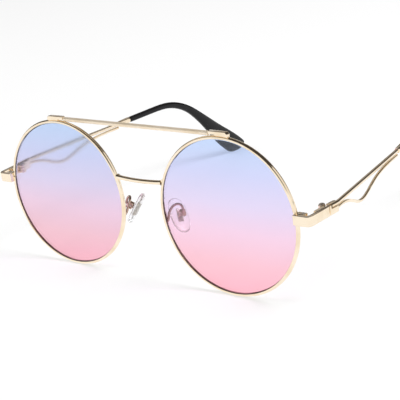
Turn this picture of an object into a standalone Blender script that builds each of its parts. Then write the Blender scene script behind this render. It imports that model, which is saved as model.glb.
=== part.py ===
"""Round full-rim sunglasses with a brow bar, wire temples that dip in a wave, and rocking nose pads.

The glasses stand open on a table: the front faces -Y, the temples run towards +Y, +Z is up.
Left and right are the wearer's, so the left side is at +X.
"""

import math

import bmesh
import bpy
from mathutils import Matrix, Vector

# Clearances
SEAT_GAP = 0.0003
RUNNING_GAP = 0.0001
KNUCKLE_GAP = 0.00015
SCREW_HEAD_GAP = 0.00015
CUT_OVERRUN = 0.002
MERGE_DISTANCE = 0.000001

# Lenses and rims
LENS_SPACING = 0.0758
RIM_OUTER_RADIUS = 0.0290
RIM_WIDTH = 0.0012
RIM_DEPTH = 0.00175
RIM_CHAMFER = 0.00018
GROOVE_SETBACK = 0.00105
GROOVE_DEPTH = 0.0006
GROOVE_MOUTH = 0.0009
GROOVE_FLOOR = 0.0004
RIM_SPLIT = 0.0004
LENS_THICKNESS = 0.0009
LENS_BEVEL_DEPTH = 0.0003
LENS_BEVEL_EDGE = 0.0002
LENS_CURVE_RADIUS = 0.240
LENS_RING_SHARES = (0.0, 0.36, 0.70, 1.0)
RIM_STEPS = 60
FRONT_LEAN = math.radians(1.7)

# Brow bar, its blocks, and the bridge
BROW_BLOCK_LENGTH = 0.0080
BROW_BLOCK_HEIGHT = 0.00125
BROW_BLOCK_DEPTH = 0.0017
BROW_BLOCK_CHAMFER = 0.0008
BROW_BLOCK_STEPS = 6
BROW_BAR_RADIUS = 0.0008
BROW_BAR_DROP = 0.0002
BRIDGE_RADIUS = 0.0008
BRIDGE_RISE = 0.00945
BRIDGE_BOW = 0.0006
BRIDGE_SAG = 0.00025
BRIDGE_SPAN_SHARES = (-1.0, -0.75, -0.4, 0.0, 0.4, 0.75, 1.0)

# End pieces: a bent strip on each rim, and the closing block behind it
STRIP_THICKNESS = 0.0014
STRIP_HEIGHT = 0.0036
STRIP_RISE = 0.0037
STRIP_LAP = 0.0008
STRIP_REACH = 0.0059
STRIP_EDGE_BEVEL = 0.0002
CORNER_RADIUS = 0.0020
CORNER_FILLET = 0.0010
CORNER_STEPS = 8
SEAM_SETBACK = 0.0093
SIDE_SPLAY = math.radians(5.5)
CLOSING_BLOCK_LENGTH = 0.0026
CLOSING_BLOCK_DEPTH = 0.0018
CLOSING_BLOCK_BEVEL = 0.00015
RIM_SCREW_RADIUS = 0.0005
RIM_SCREW_HEAD_RADIUS = 0.0008
RIM_SCREW_HEAD_HEIGHT = 0.0005

# Hinges
BARREL_RADIUS = 0.00125
BARREL_STANDOFF = 0.00185
LEAF_THICKNESS = 0.0009
LEAF_LENGTH = 0.0040
HINGE_HEIGHT = 0.0032
MIDDLE_KNUCKLE_HEIGHT = 0.0011
HINGE_SCREW_RADIUS = 0.0006
HINGE_SCREW_HEAD_RADIUS = 0.0010
HINGE_SCREW_HEAD_HEIGHT = 0.0005
SCREW_CROWN_SHARE = 0.75

# Temples, measured along their wires from the rear end of the plate
TEMPLE_PLATE_LENGTH = 0.0047
PLATE_HEAD_LENGTH = 0.0009
TEMPLE_TOE_IN = math.radians(5.75)
BAR_RADIUS = 0.00075
BAR_RISE = 0.0012
CORE_RADIUS = 0.00045
WAVE_RADIUS = 0.0006
WAVE_DEPTH = 0.0046
WAVE_PATH_SHARES = (
    (0.0, 0.0), (0.075, 0.01), (0.155, 0.20), (0.235, 0.56), (0.305, 0.90), (0.38, 1.0), (0.46, 0.81),
    (0.54, 0.53), (0.62, 0.31), (0.72, 0.14), (0.85, 0.03), (1.0, 0.0),
)
COLLAR_LENGTH = 0.0066
COLLAR_PROFILE_SHARES = ((0.0, 0.77), (0.12, 0.86), (0.85, 1.0), (1.0, 1.0))
TIP_START = 0.0587
BEND_START = 0.0770
EAR_BEND_RADIUS = 0.0315
DROP_ANGLE = math.radians(46.5)
TAIL_CURVE_RADIUS = 0.140
TIP_DROP = 0.0360
TIP_HALF_HEIGHT = 0.00125
TIP_HALF_WIDTH = 0.0012
TIP_NOSE = 0.0003
TIP_ROUNDNESS_SHARE = 0.8
PADDLE_TOP_HEIGHT = 0.00375
PADDLE_BELLY_DEPTH = 0.0063
PADDLE_HALF_WIDTH = 0.0015
PADDLE_GROWTH_SHARES = (
    (0.0, 0.04, 0.0, 0.80), (0.07, 0.08, 0.0, 0.81), (0.14, 0.15, 0.0, 0.82), (0.21, 0.20, 0.01, 0.83),
    (0.28, 0.27, 0.01, 0.85), (0.35, 0.38, 0.02, 0.87), (0.42, 0.55, 0.03, 0.90), (0.49, 0.74, 0.06, 0.94),
    (0.59, 0.91, 0.22, 1.0), (0.69, 0.97, 0.52, 1.0), (0.80, 1.0, 0.80, 1.0), (0.86, 0.97, 0.91, 1.0),
    (0.907, 0.88, 1.0, 0.98), (0.945, 0.78, 0.92, 0.95), (0.973, 0.70, 0.77, 0.91), (1.0, 0.58, 0.575, 0.85),
    (1.023, 0.48, 0.38, 0.76), (1.042, 0.34, 0.14, 0.64), (1.058, 0.18, -0.16, 0.46),
)
TAIL_END_HEIGHT = 0.0036
CORE_REACH_SHARE = 0.60
TIP_SIDES = 14
BORE_SIDES = 8
BEND_STEPS = 6

# Nose pads and their arms
PAD_SPREAD = 0.0104
PAD_SETBACK = 0.0084
PAD_DROP = 0.0054
PAD_LONG_SHARES = (-0.42, 0.33, 0.84)
PAD_FACE_SHARES = (-0.85, 0.45, 0.0)
PAD_LENGTH = 0.0132
PAD_WIDTH = 0.0070
PAD_LEAN_SHARE = 0.12
PAD_THICKNESS = 0.0022
PAD_LAYER_SHARES = ((-1.0, 0.62), (-0.75, 0.86), (-0.2, 1.0), (0.35, 0.96), (0.8, 0.76), (1.0, 0.45))
PAD_SIDES = 24
PAD_FULLNESS = 2.4
PAD_BACK_GAP = 0.00045
BOX_WIDTH = 0.0024
BOX_HEIGHT = 0.0024
BOX_WALL = 0.0004
BORE_MARGIN = 0.0003
TAB_THICKNESS = 0.0008
TAB_HEIGHT = 0.0013
CORE_FOOT_LENGTH = 0.0050
CORE_FOOT_WIDTH = 0.0020
CORE_FOOT_THICKNESS = 0.0006
PAD_SCREW_RADIUS = 0.0004
PAD_SCREW_HEAD_RADIUS = 0.0007
PAD_SCREW_HEAD_HEIGHT = 0.0004
ARM_RADIUS = 0.00045
ARM_RISE = 0.0048
ARM_FOOT_DROP = 0.0052
ARM_PATH_SHARES = ((-0.06, 0.36, 0.56), (0.18, 0.84, 0.97), (0.64, 1.06, 0.96), (0.98, 1.05, 0.66))

SMALL_SIDES = 16
WIRE_ROUND_STEPS = 2
WIRE_CURVE_STEPS = 4
BEVEL_SEGMENTS = 2
CREASE_ANGLE = math.radians(35)
SETTLING_ROUNDS = 4

# Places worked out from the sizes above
LENS_X = LENS_SPACING / 2
RIM_INNER_RADIUS = RIM_OUTER_RADIUS - RIM_WIDTH
RIM_MIDDLE = RIM_DEPTH / 2
RIM_SEAT_RADIUS = RIM_OUTER_RADIUS + SEAT_GAP
STRIP_FRONT = -SEAT_GAP - STRIP_THICKNESS
FRONT_HALF_WIDTH = LENS_X + RIM_OUTER_RADIUS + STRIP_REACH
CLOSING_BLOCK_HEIGHT = (STRIP_HEIGHT - RIM_SPLIT) / 2
AXIS_OFFSET = BARREL_STANDOFF + STRIP_THICKNESS / 2
BARREL_CLEAR = BARREL_RADIUS + KNUCKLE_GAP
PLATE_START = SEAT_GAP / 2
WIRE_START = PLATE_START + TEMPLE_PLATE_LENGTH + SEAT_GAP
BAR_LEAD = TEMPLE_PLATE_LENGTH - PLATE_HEAD_LENGTH
WAVE_FALL = BAR_RADIUS + SEAT_GAP + WAVE_RADIUS
COLLAR_START = TIP_START - SEAT_GAP - COLLAR_LENGTH
WAVE_LENGTH = COLLAR_START - SEAT_GAP
BEND_LENGTH = EAR_BEND_RADIUS * DROP_ANGLE
BEND_END = BEND_START + BEND_LENGTH
TAIL_DROP = TIP_DROP - EAR_BEND_RADIUS * (1 - math.cos(DROP_ANGLE)) - TAIL_END_HEIGHT
TAIL_END_SLOPE = math.acos(math.cos(DROP_ANGLE) + TAIL_DROP / TAIL_CURVE_RADIUS)
TAIL_LENGTH = TAIL_CURVE_RADIUS * (DROP_ANGLE - TAIL_END_SLOPE)
CORE_END = BEND_END + TAIL_LENGTH * (1 - CORE_REACH_SHARE)
CORE_BORE = CORE_RADIUS + SEAT_GAP
PAD_BORE = PAD_SCREW_RADIUS + RUNNING_GAP
TAB_BACK = -PAD_BORE - BORE_MARGIN
BOX_BACK = TAB_BACK - SEAT_GAP - BOX_WALL
BOX_FRONT = PAD_BORE + BORE_MARGIN
PAD_PIVOT_REACH = PAD_THICKNESS / 2 + PAD_BACK_GAP + BOX_FRONT


def clear_scene():
    for obj in list(bpy.data.objects):
        bpy.data.objects.remove(obj, do_unlink=True)


def material(name, colour, roughness, metallic=0.0, alpha=1.0):
    """A Principled material of one colour."""
    made = bpy.data.materials.new(name)
    made.use_nodes = True
    made.diffuse_color = (*colour, alpha)
    shader = made.node_tree.nodes["Principled BSDF"]
    shader.inputs["Base Color"].default_value = (*colour, 1.0)
    shader.inputs["Roughness"].default_value = roughness
    shader.inputs["Metallic"].default_value = metallic
    shader.inputs["Alpha"].default_value = alpha
    return made


def empty(name, parent, matrix):
    """A named empty that carries other pieces; its matrix is in its parent's frame."""
    made = bpy.data.objects.new(name, None)
    bpy.context.collection.objects.link(made)
    made.parent = parent
    made.matrix_local = matrix
    return made


def mirrored(matrix, side):
    """The same placement on the wearer's right, where side is -1."""
    flip = Matrix.Diagonal((side, 1, 1, 1))
    return flip @ matrix @ flip


def place(name, data, finish, frame):
    """Links a mesh or curve as a named object in a frame."""
    data.materials.append(finish)
    made = bpy.data.objects.new(name, data)
    bpy.context.collection.objects.link(made)
    made.parent = frame
    return made


def solid(name, bm, finish, frame, side=1):
    """Closes a bmesh into a smooth-shaded object, mirrored for the right side."""
    bmesh.ops.scale(bm, vec=(side, 1, 1), verts=bm.verts)
    bmesh.ops.recalc_face_normals(bm, faces=bm.faces)
    mesh = bpy.data.meshes.new(name)
    bm.to_mesh(mesh)
    bm.free()
    mesh.shade_smooth()
    mesh.set_sharp_from_angle(angle=CREASE_ANGLE)
    return place(name, mesh, finish, frame)


def cut(target, cutter):
    """Takes a hidden cutter out of a target."""
    cutter.hide_render = True
    cutter.display_type = "WIRE"
    modifier = target.modifiers.new(cutter.name, "BOOLEAN")
    modifier.operation = "DIFFERENCE"
    modifier.object = cutter


def bevel(target, width):
    modifier = target.modifiers.new("edge_bevel", "BEVEL")
    modifier.width = width
    modifier.segments = BEVEL_SEGMENTS
    modifier.limit_method = "ANGLE"
    modifier.angle_limit = CREASE_ANGLE


def loft(rings):
    """Skins rings of equal count and caps the two ends."""
    bm = bmesh.new()
    loops = [[bm.verts.new(point) for point in ring] for ring in rings]
    for first, second in zip(loops, loops[1:]):
        for i in range(len(first)):
            j = (i + 1) % len(first)
            bm.faces.new((first[i], first[j], second[j], second[i]))
    bm.faces.new(loops[0])
    bm.faces.new(loops[-1])
    return bm


def extruded(outline, low, high):
    """A flat outline in X and Y, extruded along Z."""
    bm = bmesh.new()
    base = bm.faces.new([bm.verts.new((x, y, low)) for x, y in outline])
    grown = bmesh.ops.extrude_face_region(bm, geom=[base])
    top = [item for item in grown["geom"] if isinstance(item, bmesh.types.BMVert)]
    bmesh.ops.translate(bm, vec=(0, 0, high - low), verts=top)
    return bm


def box(low, high):
    outline = ((low[0], low[1]), (high[0], low[1]), (high[0], high[1]), (low[0], high[1]))
    return extruded(outline, low[2], high[2])


def cylinder(centre, radius, low, high, sides=SMALL_SIDES):
    """An upright cylinder about (x, y)."""
    turns = [2 * math.pi * k / sides for k in range(sides)]
    outline = [(centre[0] + radius * math.cos(a), centre[1] + radius * math.sin(a)) for a in turns]
    return extruded(outline, low, high)


def turned(profile, sides=SMALL_SIDES):
    """A profile of (radius, height) points that starts and ends on the axis, turned about Z."""
    bm = bmesh.new()
    verts = [bm.verts.new((radius, 0, height)) for radius, height in profile]
    edges = [bm.edges.new(pair) for pair in zip(verts, verts[1:])]
    bmesh.ops.spin(
        bm, geom=verts + edges, cent=(0, 0, 0), axis=(0, 0, 1), angle=2 * math.pi, steps=sides, use_merge=True
    )
    bmesh.ops.remove_doubles(bm, verts=bm.verts, dist=MERGE_DISTANCE)
    return bm


def screw(name, finish, frame, side, radius, head_radius, head_height, shaft_length, to_frame):
    """A cheese-head screw: head base at z = 0, shaft downwards, moved into its frame by to_frame."""
    crown = head_radius * SCREW_CROWN_SHARE
    profile = (
        (0, head_height), (crown, head_height), (head_radius, head_height / 2), (head_radius, 0),
        (radius, 0), (radius, -shaft_length), (0, -shaft_length),
    )
    bm = turned(profile)
    bmesh.ops.transform(bm, matrix=to_frame, verts=bm.verts)
    return solid(name, bm, finish, frame, side)


def wire(name, points, radius, finish, frame, side=1, smooth=True, radius_shares=None):
    """A round wire along its points: a Bezier through them, or straight between them."""
    curve = bpy.data.curves.new(name, "CURVE")
    curve.dimensions = "3D"
    curve.bevel_depth = radius
    curve.bevel_resolution = WIRE_ROUND_STEPS
    curve.resolution_u = WIRE_CURVE_STEPS
    curve.use_fill_caps = True
    spline = curve.splines.new("BEZIER" if smooth else "POLY")
    knots = spline.bezier_points if smooth else spline.points
    knots.add(len(points) - 1)
    for k, (x, y, z) in enumerate(points):
        knots[k].co = (side * x, y, z) if smooth else (side * x, y, z, 1)
        knots[k].radius = radius_shares[k] if radius_shares else 1
        if smooth:
            knots[k].handle_left_type = "AUTO"
            knots[k].handle_right_type = "AUTO"
    return place(name, curve, finish, frame)


def lens_ring(profile, angle):
    """Profile points (radius, depth) swung about the left lens axis."""
    return [(LENS_X + r * math.cos(angle), y, r * math.sin(angle)) for r, y in profile]


def make_rim(side_name, side, finish, front):
    """A grooved eyewire, split where its closing block draws it together round the lens."""
    inner, outer, depth = RIM_INNER_RADIUS, RIM_OUTER_RADIUS, RIM_DEPTH
    floor = inner + GROOVE_DEPTH
    profile = (
        (inner, RIM_CHAMFER), (inner, GROOVE_SETBACK - GROOVE_MOUTH / 2),
        (floor, GROOVE_SETBACK - GROOVE_FLOOR / 2), (floor, GROOVE_SETBACK + GROOVE_FLOOR / 2),
        (inner, GROOVE_SETBACK + GROOVE_MOUTH / 2), (inner, depth - RIM_CHAMFER),
        (inner + RIM_CHAMFER, depth), (outer - RIM_CHAMFER, depth), (outer, depth - RIM_CHAMFER),
        (outer, RIM_CHAMFER), (outer - RIM_CHAMFER, 0), (inner + RIM_CHAMFER, 0),
    )
    middle = math.asin(STRIP_RISE / outer)
    half_split = RIM_SPLIT / 2 / outer
    sweep = 2 * math.pi - 2 * half_split
    rings = [lens_ring(profile, middle + half_split + sweep * k / RIM_STEPS) for k in range(RIM_STEPS + 1)]
    return solid("rim_" + side_name, loft(rings), finish, front, side)


def make_lens(side_name, side, finish, front):
    """A thin lens, evenly domed, with a bevelled edge that stands in the rim's groove."""
    body = RIM_INNER_RADIUS - SEAT_GAP
    tip = RIM_INNER_RADIUS + LENS_BEVEL_DEPTH
    half = LENS_THICKNESS / 2

    def dome(radius):
        rim_sag = LENS_CURVE_RADIUS - math.sqrt(LENS_CURVE_RADIUS**2 - body**2)
        sag = LENS_CURVE_RADIUS - math.sqrt(LENS_CURVE_RADIUS**2 - radius**2)
        return sag - rim_sag

    front_face = [(body * share, GROOVE_SETBACK - half + dome(body * share)) for share in LENS_RING_SHARES]
    back_face = [(r, y + LENS_THICKNESS) for r, y in reversed(front_face)]
    edge = [(tip, GROOVE_SETBACK - LENS_BEVEL_EDGE / 2), (tip, GROOVE_SETBACK + LENS_BEVEL_EDGE / 2)]
    bm = bmesh.new()
    loops = []
    for r, y in front_face[1:] + edge + back_face[:-1]:
        angles = [2 * math.pi * k / RIM_STEPS for k in range(RIM_STEPS)]
        loops.append([bm.verts.new((LENS_X + r * math.cos(a), y, r * math.sin(a))) for a in angles])
    for first, second in zip(loops, loops[1:]):
        for i in range(RIM_STEPS):
            j = (i + 1) % RIM_STEPS
            bm.faces.new((first[i], first[j], second[j], second[i]))
    for loop, (_, y) in ((loops[0], front_face[0]), (loops[-1], back_face[-1])):
        pole = bm.verts.new((LENS_X, y, 0))
        for i in range(RIM_STEPS):
            bm.faces.new((pole, loop[i], loop[(i + 1) % RIM_STEPS]))
    return solid("lens_" + side_name, bm, finish, front, side)


def make_brow_block(side_name, side, finish, front):
    """A low block on top of the rim, hollowed to the rim's curve, its outer end cut back."""
    seat = RIM_SEAT_RADIUS
    top = seat + BROW_BLOCK_HEIGHT
    half = BROW_BLOCK_LENGTH / 2
    reach = math.asin(half / seat)
    turns = [reach * (1 - 2 * k / BROW_BLOCK_STEPS) for k in range(BROW_BLOCK_STEPS + 1)]
    underside = [(LENS_X + seat * math.sin(a), seat * math.cos(a)) for a in turns]
    outline = underside + [
        (LENS_X - half, top), (LENS_X + half - BROW_BLOCK_CHAMFER, top),
        (LENS_X + half, top - BROW_BLOCK_CHAMFER),
    ]
    bm = extruded(outline, 0, BROW_BLOCK_DEPTH)
    swing = Matrix.Translation((0, RIM_MIDDLE + BROW_BLOCK_DEPTH / 2, 0))
    swing @= Matrix.Rotation(math.pi / 2, 4, "X")
    bmesh.ops.transform(bm, matrix=swing, verts=bm.verts)
    return solid("brow_block_" + side_name, bm, finish, front, side)


def make_brow_bar(finish, front):
    """The straight wire between the two brow blocks, a little below their tops."""
    reach = LENS_X - BROW_BLOCK_LENGTH / 2 - SEAT_GAP
    height = RIM_SEAT_RADIUS + BROW_BLOCK_HEIGHT - BROW_BAR_DROP - BROW_BAR_RADIUS
    ends = [(-reach, RIM_MIDDLE, height), (reach, RIM_MIDDLE, height)]
    wire("brow_bar", ends, BROW_BAR_RADIUS, finish, front, smooth=False)


def make_bridge(finish, front):
    """The nose bridge: one wire between the rims, bowed slightly forwards and down."""
    rim_side = math.sqrt(RIM_SEAT_RADIUS**2 - (BRIDGE_RISE - BRIDGE_RADIUS) ** 2)
    reach = LENS_X - rim_side
    points = [(reach * t, RIM_MIDDLE - BRIDGE_BOW * (1 - t * t), BRIDGE_RISE - BRIDGE_SAG * (1 - t * t))
              for t in BRIDGE_SPAN_SHARES]
    wire("bridge_wire", points, BRIDGE_RADIUS, finish, front)


def side_directions():
    """Unit vectors in plan: back along the left end piece's side, and square out of it."""
    along = Vector((math.sin(SIDE_SPLAY), math.cos(SIDE_SPLAY)))
    outward = Vector((math.cos(SIDE_SPLAY), -math.sin(SIDE_SPLAY)))
    return along, outward


def seam_point():
    """The outer face of the left end piece at the hinge seam, in plan."""
    along, outward = side_directions()
    corner = Vector((FRONT_HALF_WIDTH - CORNER_RADIUS, STRIP_FRONT + CORNER_RADIUS))
    leave = corner + CORNER_RADIUS * outward
    return leave + along * (SEAM_SETBACK - leave.y) / along.y


def hinge_place():
    """The left hinge axis in plan: inboard of the strip, at the seam."""
    _, outward = side_directions()
    return seam_point() - (STRIP_THICKNESS + BARREL_STANDOFF) * outward


def make_end_piece(side_name, side, finish, root):
    """A strip that laps over the rim's front, bends back round the corner and ends at the hinge seam."""
    along, outward = side_directions()
    back_y = STRIP_FRONT + STRIP_THICKNESS
    lap_end = LENS_X + RIM_OUTER_RADIUS - STRIP_LAP
    outer_end = seam_point() - PLATE_START * along
    inner_end = outer_end - STRIP_THICKNESS * outward
    sweep = math.pi / 2 - SIDE_SPLAY
    turns = [-math.pi / 2 + sweep * k / CORNER_STEPS for k in range(CORNER_STEPS + 1)]
    corner = Vector((FRONT_HALF_WIDTH - CORNER_RADIUS, STRIP_FRONT + CORNER_RADIUS))
    fillet_y = back_y + CORNER_FILLET
    wall = inner_end + along * (fillet_y - inner_end.y) / along.y
    fillet = Vector((wall.x - CORNER_FILLET / outward.x, fillet_y))
    outer = [corner + CORNER_RADIUS * Vector((math.cos(a), math.sin(a))) for a in turns]
    inner = [fillet + CORNER_FILLET * Vector((math.cos(a), math.sin(a))) for a in reversed(turns)]
    outline = [Vector((lap_end, STRIP_FRONT))] + outer + [outer_end, inner_end] + inner
    outline.append(Vector((lap_end, back_y)))
    half = STRIP_HEIGHT / 2
    bm = extruded([tuple(point) for point in outline], STRIP_RISE - half, STRIP_RISE + half)
    made = solid("end_piece_" + side_name, bm, finish, root, side)
    bevel(made, STRIP_EDGE_BEVEL)


def make_closing_block(side_name, side, finish, screw_finish, front):
    """Two small blocks behind the end piece, one on each end of the rim, and the screw that joins them."""
    inner_x = LENS_X + RIM_OUTER_RADIUS * math.cos(math.asin(STRIP_RISE / RIM_OUTER_RADIUS))
    outer_x = LENS_X + RIM_SEAT_RADIUS + CLOSING_BLOCK_LENGTH
    screw_x = outer_x - CLOSING_BLOCK_LENGTH / 2
    screw_y = CLOSING_BLOCK_DEPTH / 2
    half = RIM_SPLIT / 2
    swing = Matrix.Translation((LENS_X, RIM_MIDDLE, 0)) @ Matrix.Rotation(math.pi / 2, 4, "X")
    for name, low, high in (
        ("upper", STRIP_RISE + half, STRIP_RISE + half + CLOSING_BLOCK_HEIGHT),
        ("lower", STRIP_RISE - half - CLOSING_BLOCK_HEIGHT, STRIP_RISE - half),
    ):
        label = "closing_block_" + name + "_" + side_name
        blank = box((inner_x - CUT_OVERRUN, 0, low), (outer_x, CLOSING_BLOCK_DEPTH, high))
        block = solid(label, blank, finish, front, side)
        bevel(block, CLOSING_BLOCK_BEVEL)
        envelope = cylinder((0, 0), RIM_SEAT_RADIUS, -RIM_DEPTH - CUT_OVERRUN, RIM_DEPTH + CUT_OVERRUN,
                            sides=RIM_STEPS)
        bmesh.ops.transform(envelope, matrix=swing, verts=envelope.verts)
        cut(block, solid(label + "_rim_cutter", envelope, finish, front, side))
        bore = cylinder((screw_x, screw_y), RIM_SCREW_RADIUS + RUNNING_GAP, low - CUT_OVERRUN,
                        high + CUT_OVERRUN)
        cut(block, solid(label + "_bore_cutter", bore, finish, front, side))
    bottom = STRIP_RISE - half - CLOSING_BLOCK_HEIGHT - SCREW_HEAD_GAP
    length = 2 * CLOSING_BLOCK_HEIGHT + RIM_SPLIT + SCREW_HEAD_GAP
    upside_down = Matrix.Translation((screw_x, screw_y, bottom)) @ Matrix.Rotation(math.pi, 4, "X")
    screw("rim_screw_" + side_name, screw_finish, front, side, RIM_SCREW_RADIUS, RIM_SCREW_HEAD_RADIUS,
          RIM_SCREW_HEAD_HEIGHT, length, upside_down)


def leaf_outline(direction):
    """Plan of a hinge half: a barrel about the axis and a leaf along the strip, on one side of the seam."""
    outer = BARREL_STANDOFF - SEAT_GAP
    inner = outer - LEAF_THICKNESS
    end = BARREL_CLEAR + LEAF_LENGTH
    meet = math.acos(inner / BARREL_RADIUS)
    sweep = 2 * math.pi - meet
    turns = [sweep * k / SMALL_SIDES for k in range(SMALL_SIDES + 1)]
    barrel = [(BARREL_RADIUS * math.cos(a), BARREL_RADIUS * math.sin(a)) for a in turns]
    outline = [(outer, -end), (outer, 0)] + barrel + [(inner, -end)]
    return [(x, -direction * y) for x, y in outline]


def make_hinge(side_name, side, finish, screw_finish, hinge, temple):
    """Three knuckles on a screw: the outer two on the front's leaf, the middle one on the temple's."""
    half = HINGE_HEIGHT / 2
    slot = MIDDLE_KNUCKLE_HEIGHT / 2 + KNUCKLE_GAP
    middle = MIDDLE_KNUCKLE_HEIGHT / 2
    wide = BARREL_STANDOFF + CUT_OVERRUN
    bm = extruded(leaf_outline(-1), -half, half)
    front_leaf = solid("front_hinge_" + side_name, bm, finish, hinge, side)
    slot_box = box((-wide, -BARREL_CLEAR, -slot), (wide, wide, slot))
    cut(front_leaf, solid("front_slot_cutter_" + side_name, slot_box, finish, hinge, side))
    bm = extruded(leaf_outline(1), -half, half)
    temple_leaf = solid("temple_hinge_" + side_name, bm, finish, temple, side)
    beyond = half + CUT_OVERRUN
    for level, low, high in (("top", middle, beyond), ("bottom", -beyond, -middle)):
        room = box((-wide, -wide, low), (wide, BARREL_CLEAR, high))
        cut(temple_leaf, solid("temple_" + level + "_cutter_" + side_name, room, finish, temple, side))
    for leaf, frame in ((front_leaf, hinge), (temple_leaf, temple)):
        bore = cylinder((0, 0), HINGE_SCREW_RADIUS + RUNNING_GAP, -beyond, beyond)
        cut(leaf, solid(leaf.name + "_bore_cutter", bore, finish, frame, side))
    head_seat = Matrix.Translation((0, 0, half + SCREW_HEAD_GAP))
    screw("hinge_screw_" + side_name, screw_finish, hinge, side, HINGE_SCREW_RADIUS, HINGE_SCREW_HEAD_RADIUS,
          HINGE_SCREW_HEAD_HEIGHT, HINGE_HEIGHT + SCREW_HEAD_GAP, head_seat)


def temple_point(distance):
    """Place and slope of the wires' centre line: level, an arc over the ear, then a tail that eases back."""
    bend = distance - BEND_START
    if bend <= 0:
        return distance, 0, 0
    angle = min(bend / EAR_BEND_RADIUS, DROP_ANGLE)
    slope = angle - max(bend - BEND_LENGTH, 0) / TAIL_CURVE_RADIUS
    y = EAR_BEND_RADIUS * math.sin(angle) + TAIL_CURVE_RADIUS * (math.sin(angle) - math.sin(slope))
    z = EAR_BEND_RADIUS * (1 - math.cos(angle)) + TAIL_CURVE_RADIUS * (math.cos(slope) - math.cos(angle))
    return BEND_START + y, -z, slope


def section(distance, half_width, half_height, sides=TIP_SIDES, roundness=1.0, sink=0):
    """A rounded section square to the wires' centre line, boxier where its roundness is under 1, with its
    middle sunk below the line."""
    y, z, slope = temple_point(distance)
    turns = [2 * math.pi * k / sides for k in range(sides)]
    ring = []
    for turn in turns:
        x = half_width * math.copysign(abs(math.cos(turn)) ** roundness, math.cos(turn))
        lift = half_height * math.copysign(abs(math.sin(turn)) ** roundness, math.sin(turn)) - sink
        ring.append((x, y + lift * math.sin(slope), z + lift * math.cos(slope)))
    return ring


def make_temple_tip(side_name, side, finish, wires):
    """The slip-on ear tip: slim to the bend, thickening upwards through it, then deepening below the line to
    a flat paddle whose base and end are cut straight."""
    rings = [
        section(TIP_START, TIP_HALF_WIDTH - TIP_NOSE, TIP_HALF_HEIGHT - TIP_NOSE, roundness=TIP_ROUNDNESS_SHARE),
        section(TIP_START + TIP_NOSE, TIP_HALF_WIDTH, TIP_HALF_HEIGHT, roundness=TIP_ROUNDNESS_SHARE),
    ]
    for place_share, top_share, belly_share, width_share in PADDLE_GROWTH_SHARES:
        top = TIP_HALF_HEIGHT + (PADDLE_TOP_HEIGHT - TIP_HALF_HEIGHT) * top_share
        belly = TIP_HALF_HEIGHT + (PADDLE_BELLY_DEPTH - TIP_HALF_HEIGHT) * belly_share
        rings.append(section(BEND_START + (BEND_LENGTH + TAIL_LENGTH) * place_share,
                             PADDLE_HALF_WIDTH * width_share, (top + belly) / 2,
                             roundness=TIP_ROUNDNESS_SHARE, sink=(belly - top) / 2))
    tip = solid("temple_tip_" + side_name, loft(rings), finish, wires, side)
    stops = [TIP_START - CUT_OVERRUN] + core_stops() + [CORE_END + SEAT_GAP]
    bore = loft([section(stop, CORE_BORE, CORE_BORE, sides=BORE_SIDES) for stop in stops])
    cut(tip, solid("tip_bore_cutter_" + side_name, bore, finish, wires, side))


def core_stops():
    """Distances along the core inside the tip, closer together round the bend."""
    return [TIP_START] + [BEND_START + BEND_LENGTH * k / BEND_STEPS for k in range(BEND_STEPS + 1)]


def make_temple_bar(side_name, side, finish, wires):
    """The upper wire: it lies in the plate's step, bends to the temple's line and thins to the core."""
    shoulder = COLLAR_START - SEAT_GAP
    stops = [0, shoulder, shoulder + SEAT_GAP / 2] + core_stops() + [CORE_END]
    turn = SIDE_SPLAY + TEMPLE_TOE_IN
    points = [(-BAR_LEAD * math.sin(turn), -BAR_LEAD * math.cos(turn), 0)]
    for stop in stops:
        y, z, _ = temple_point(stop)
        points.append((0, y, z))
    shares = [1, 1, 1] + [CORE_RADIUS / BAR_RADIUS] * (len(stops) - 2)
    wire("temple_bar_" + side_name, points, BAR_RADIUS, finish, wires, side, smooth=False,
         radius_shares=shares)


def make_wave_wire(side_name, side, finish, wires):
    """The lower wire: it leaves the plate under the bar, dips in one wave and runs back up beside the bar."""
    points = [(0, WAVE_LENGTH * along, -WAVE_FALL - WAVE_DEPTH * down) for along, down in WAVE_PATH_SHARES]
    wire("wave_wire_" + side_name, points, WAVE_RADIUS, finish, wires, side)


def make_collar(side_name, side, finish, wires):
    """The sleeve between the two wires and the tip, flaring towards the tip."""
    rings = []
    for along, share in COLLAR_PROFILE_SHARES:
        rings.append(section(COLLAR_START + COLLAR_LENGTH * along, TIP_HALF_WIDTH * share,
                             TIP_HALF_HEIGHT * share, roundness=TIP_ROUNDNESS_SHARE))
    collar = solid("tip_collar_" + side_name, loft(rings), finish, wires, side)
    stops = (COLLAR_START - CUT_OVERRUN, TIP_START + CUT_OVERRUN)
    bore = loft([section(stop, CORE_BORE, CORE_BORE, sides=BORE_SIDES) for stop in stops])
    cut(collar, solid("collar_bore_cutter_" + side_name, bore, finish, wires, side))


def make_temple_plate(side_name, side, finish, temple):
    """The short flat plate: the hinge leaf inside it, the bar in its step and the wave wire behind."""
    end, half = PLATE_START + TEMPLE_PLATE_LENGTH, STRIP_HEIGHT / 2
    step_y, step_z = PLATE_START + PLATE_HEAD_LENGTH, BAR_RISE - BAR_RADIUS - SEAT_GAP
    outline = [(PLATE_START, -half), (end, -half), (end, step_z), (step_y, step_z), (step_y, half)]
    outline.append((PLATE_START, half))
    bm = extruded(outline, BARREL_STANDOFF, BARREL_STANDOFF + STRIP_THICKNESS)
    upright = Matrix(((0, 0, 1), (1, 0, 0), (0, 1, 0))).to_4x4()
    bmesh.ops.transform(bm, matrix=upright, verts=bm.verts)
    plate = solid("temple_plate_" + side_name, bm, finish, temple, side)
    bevel(plate, STRIP_EDGE_BEVEL)


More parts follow.
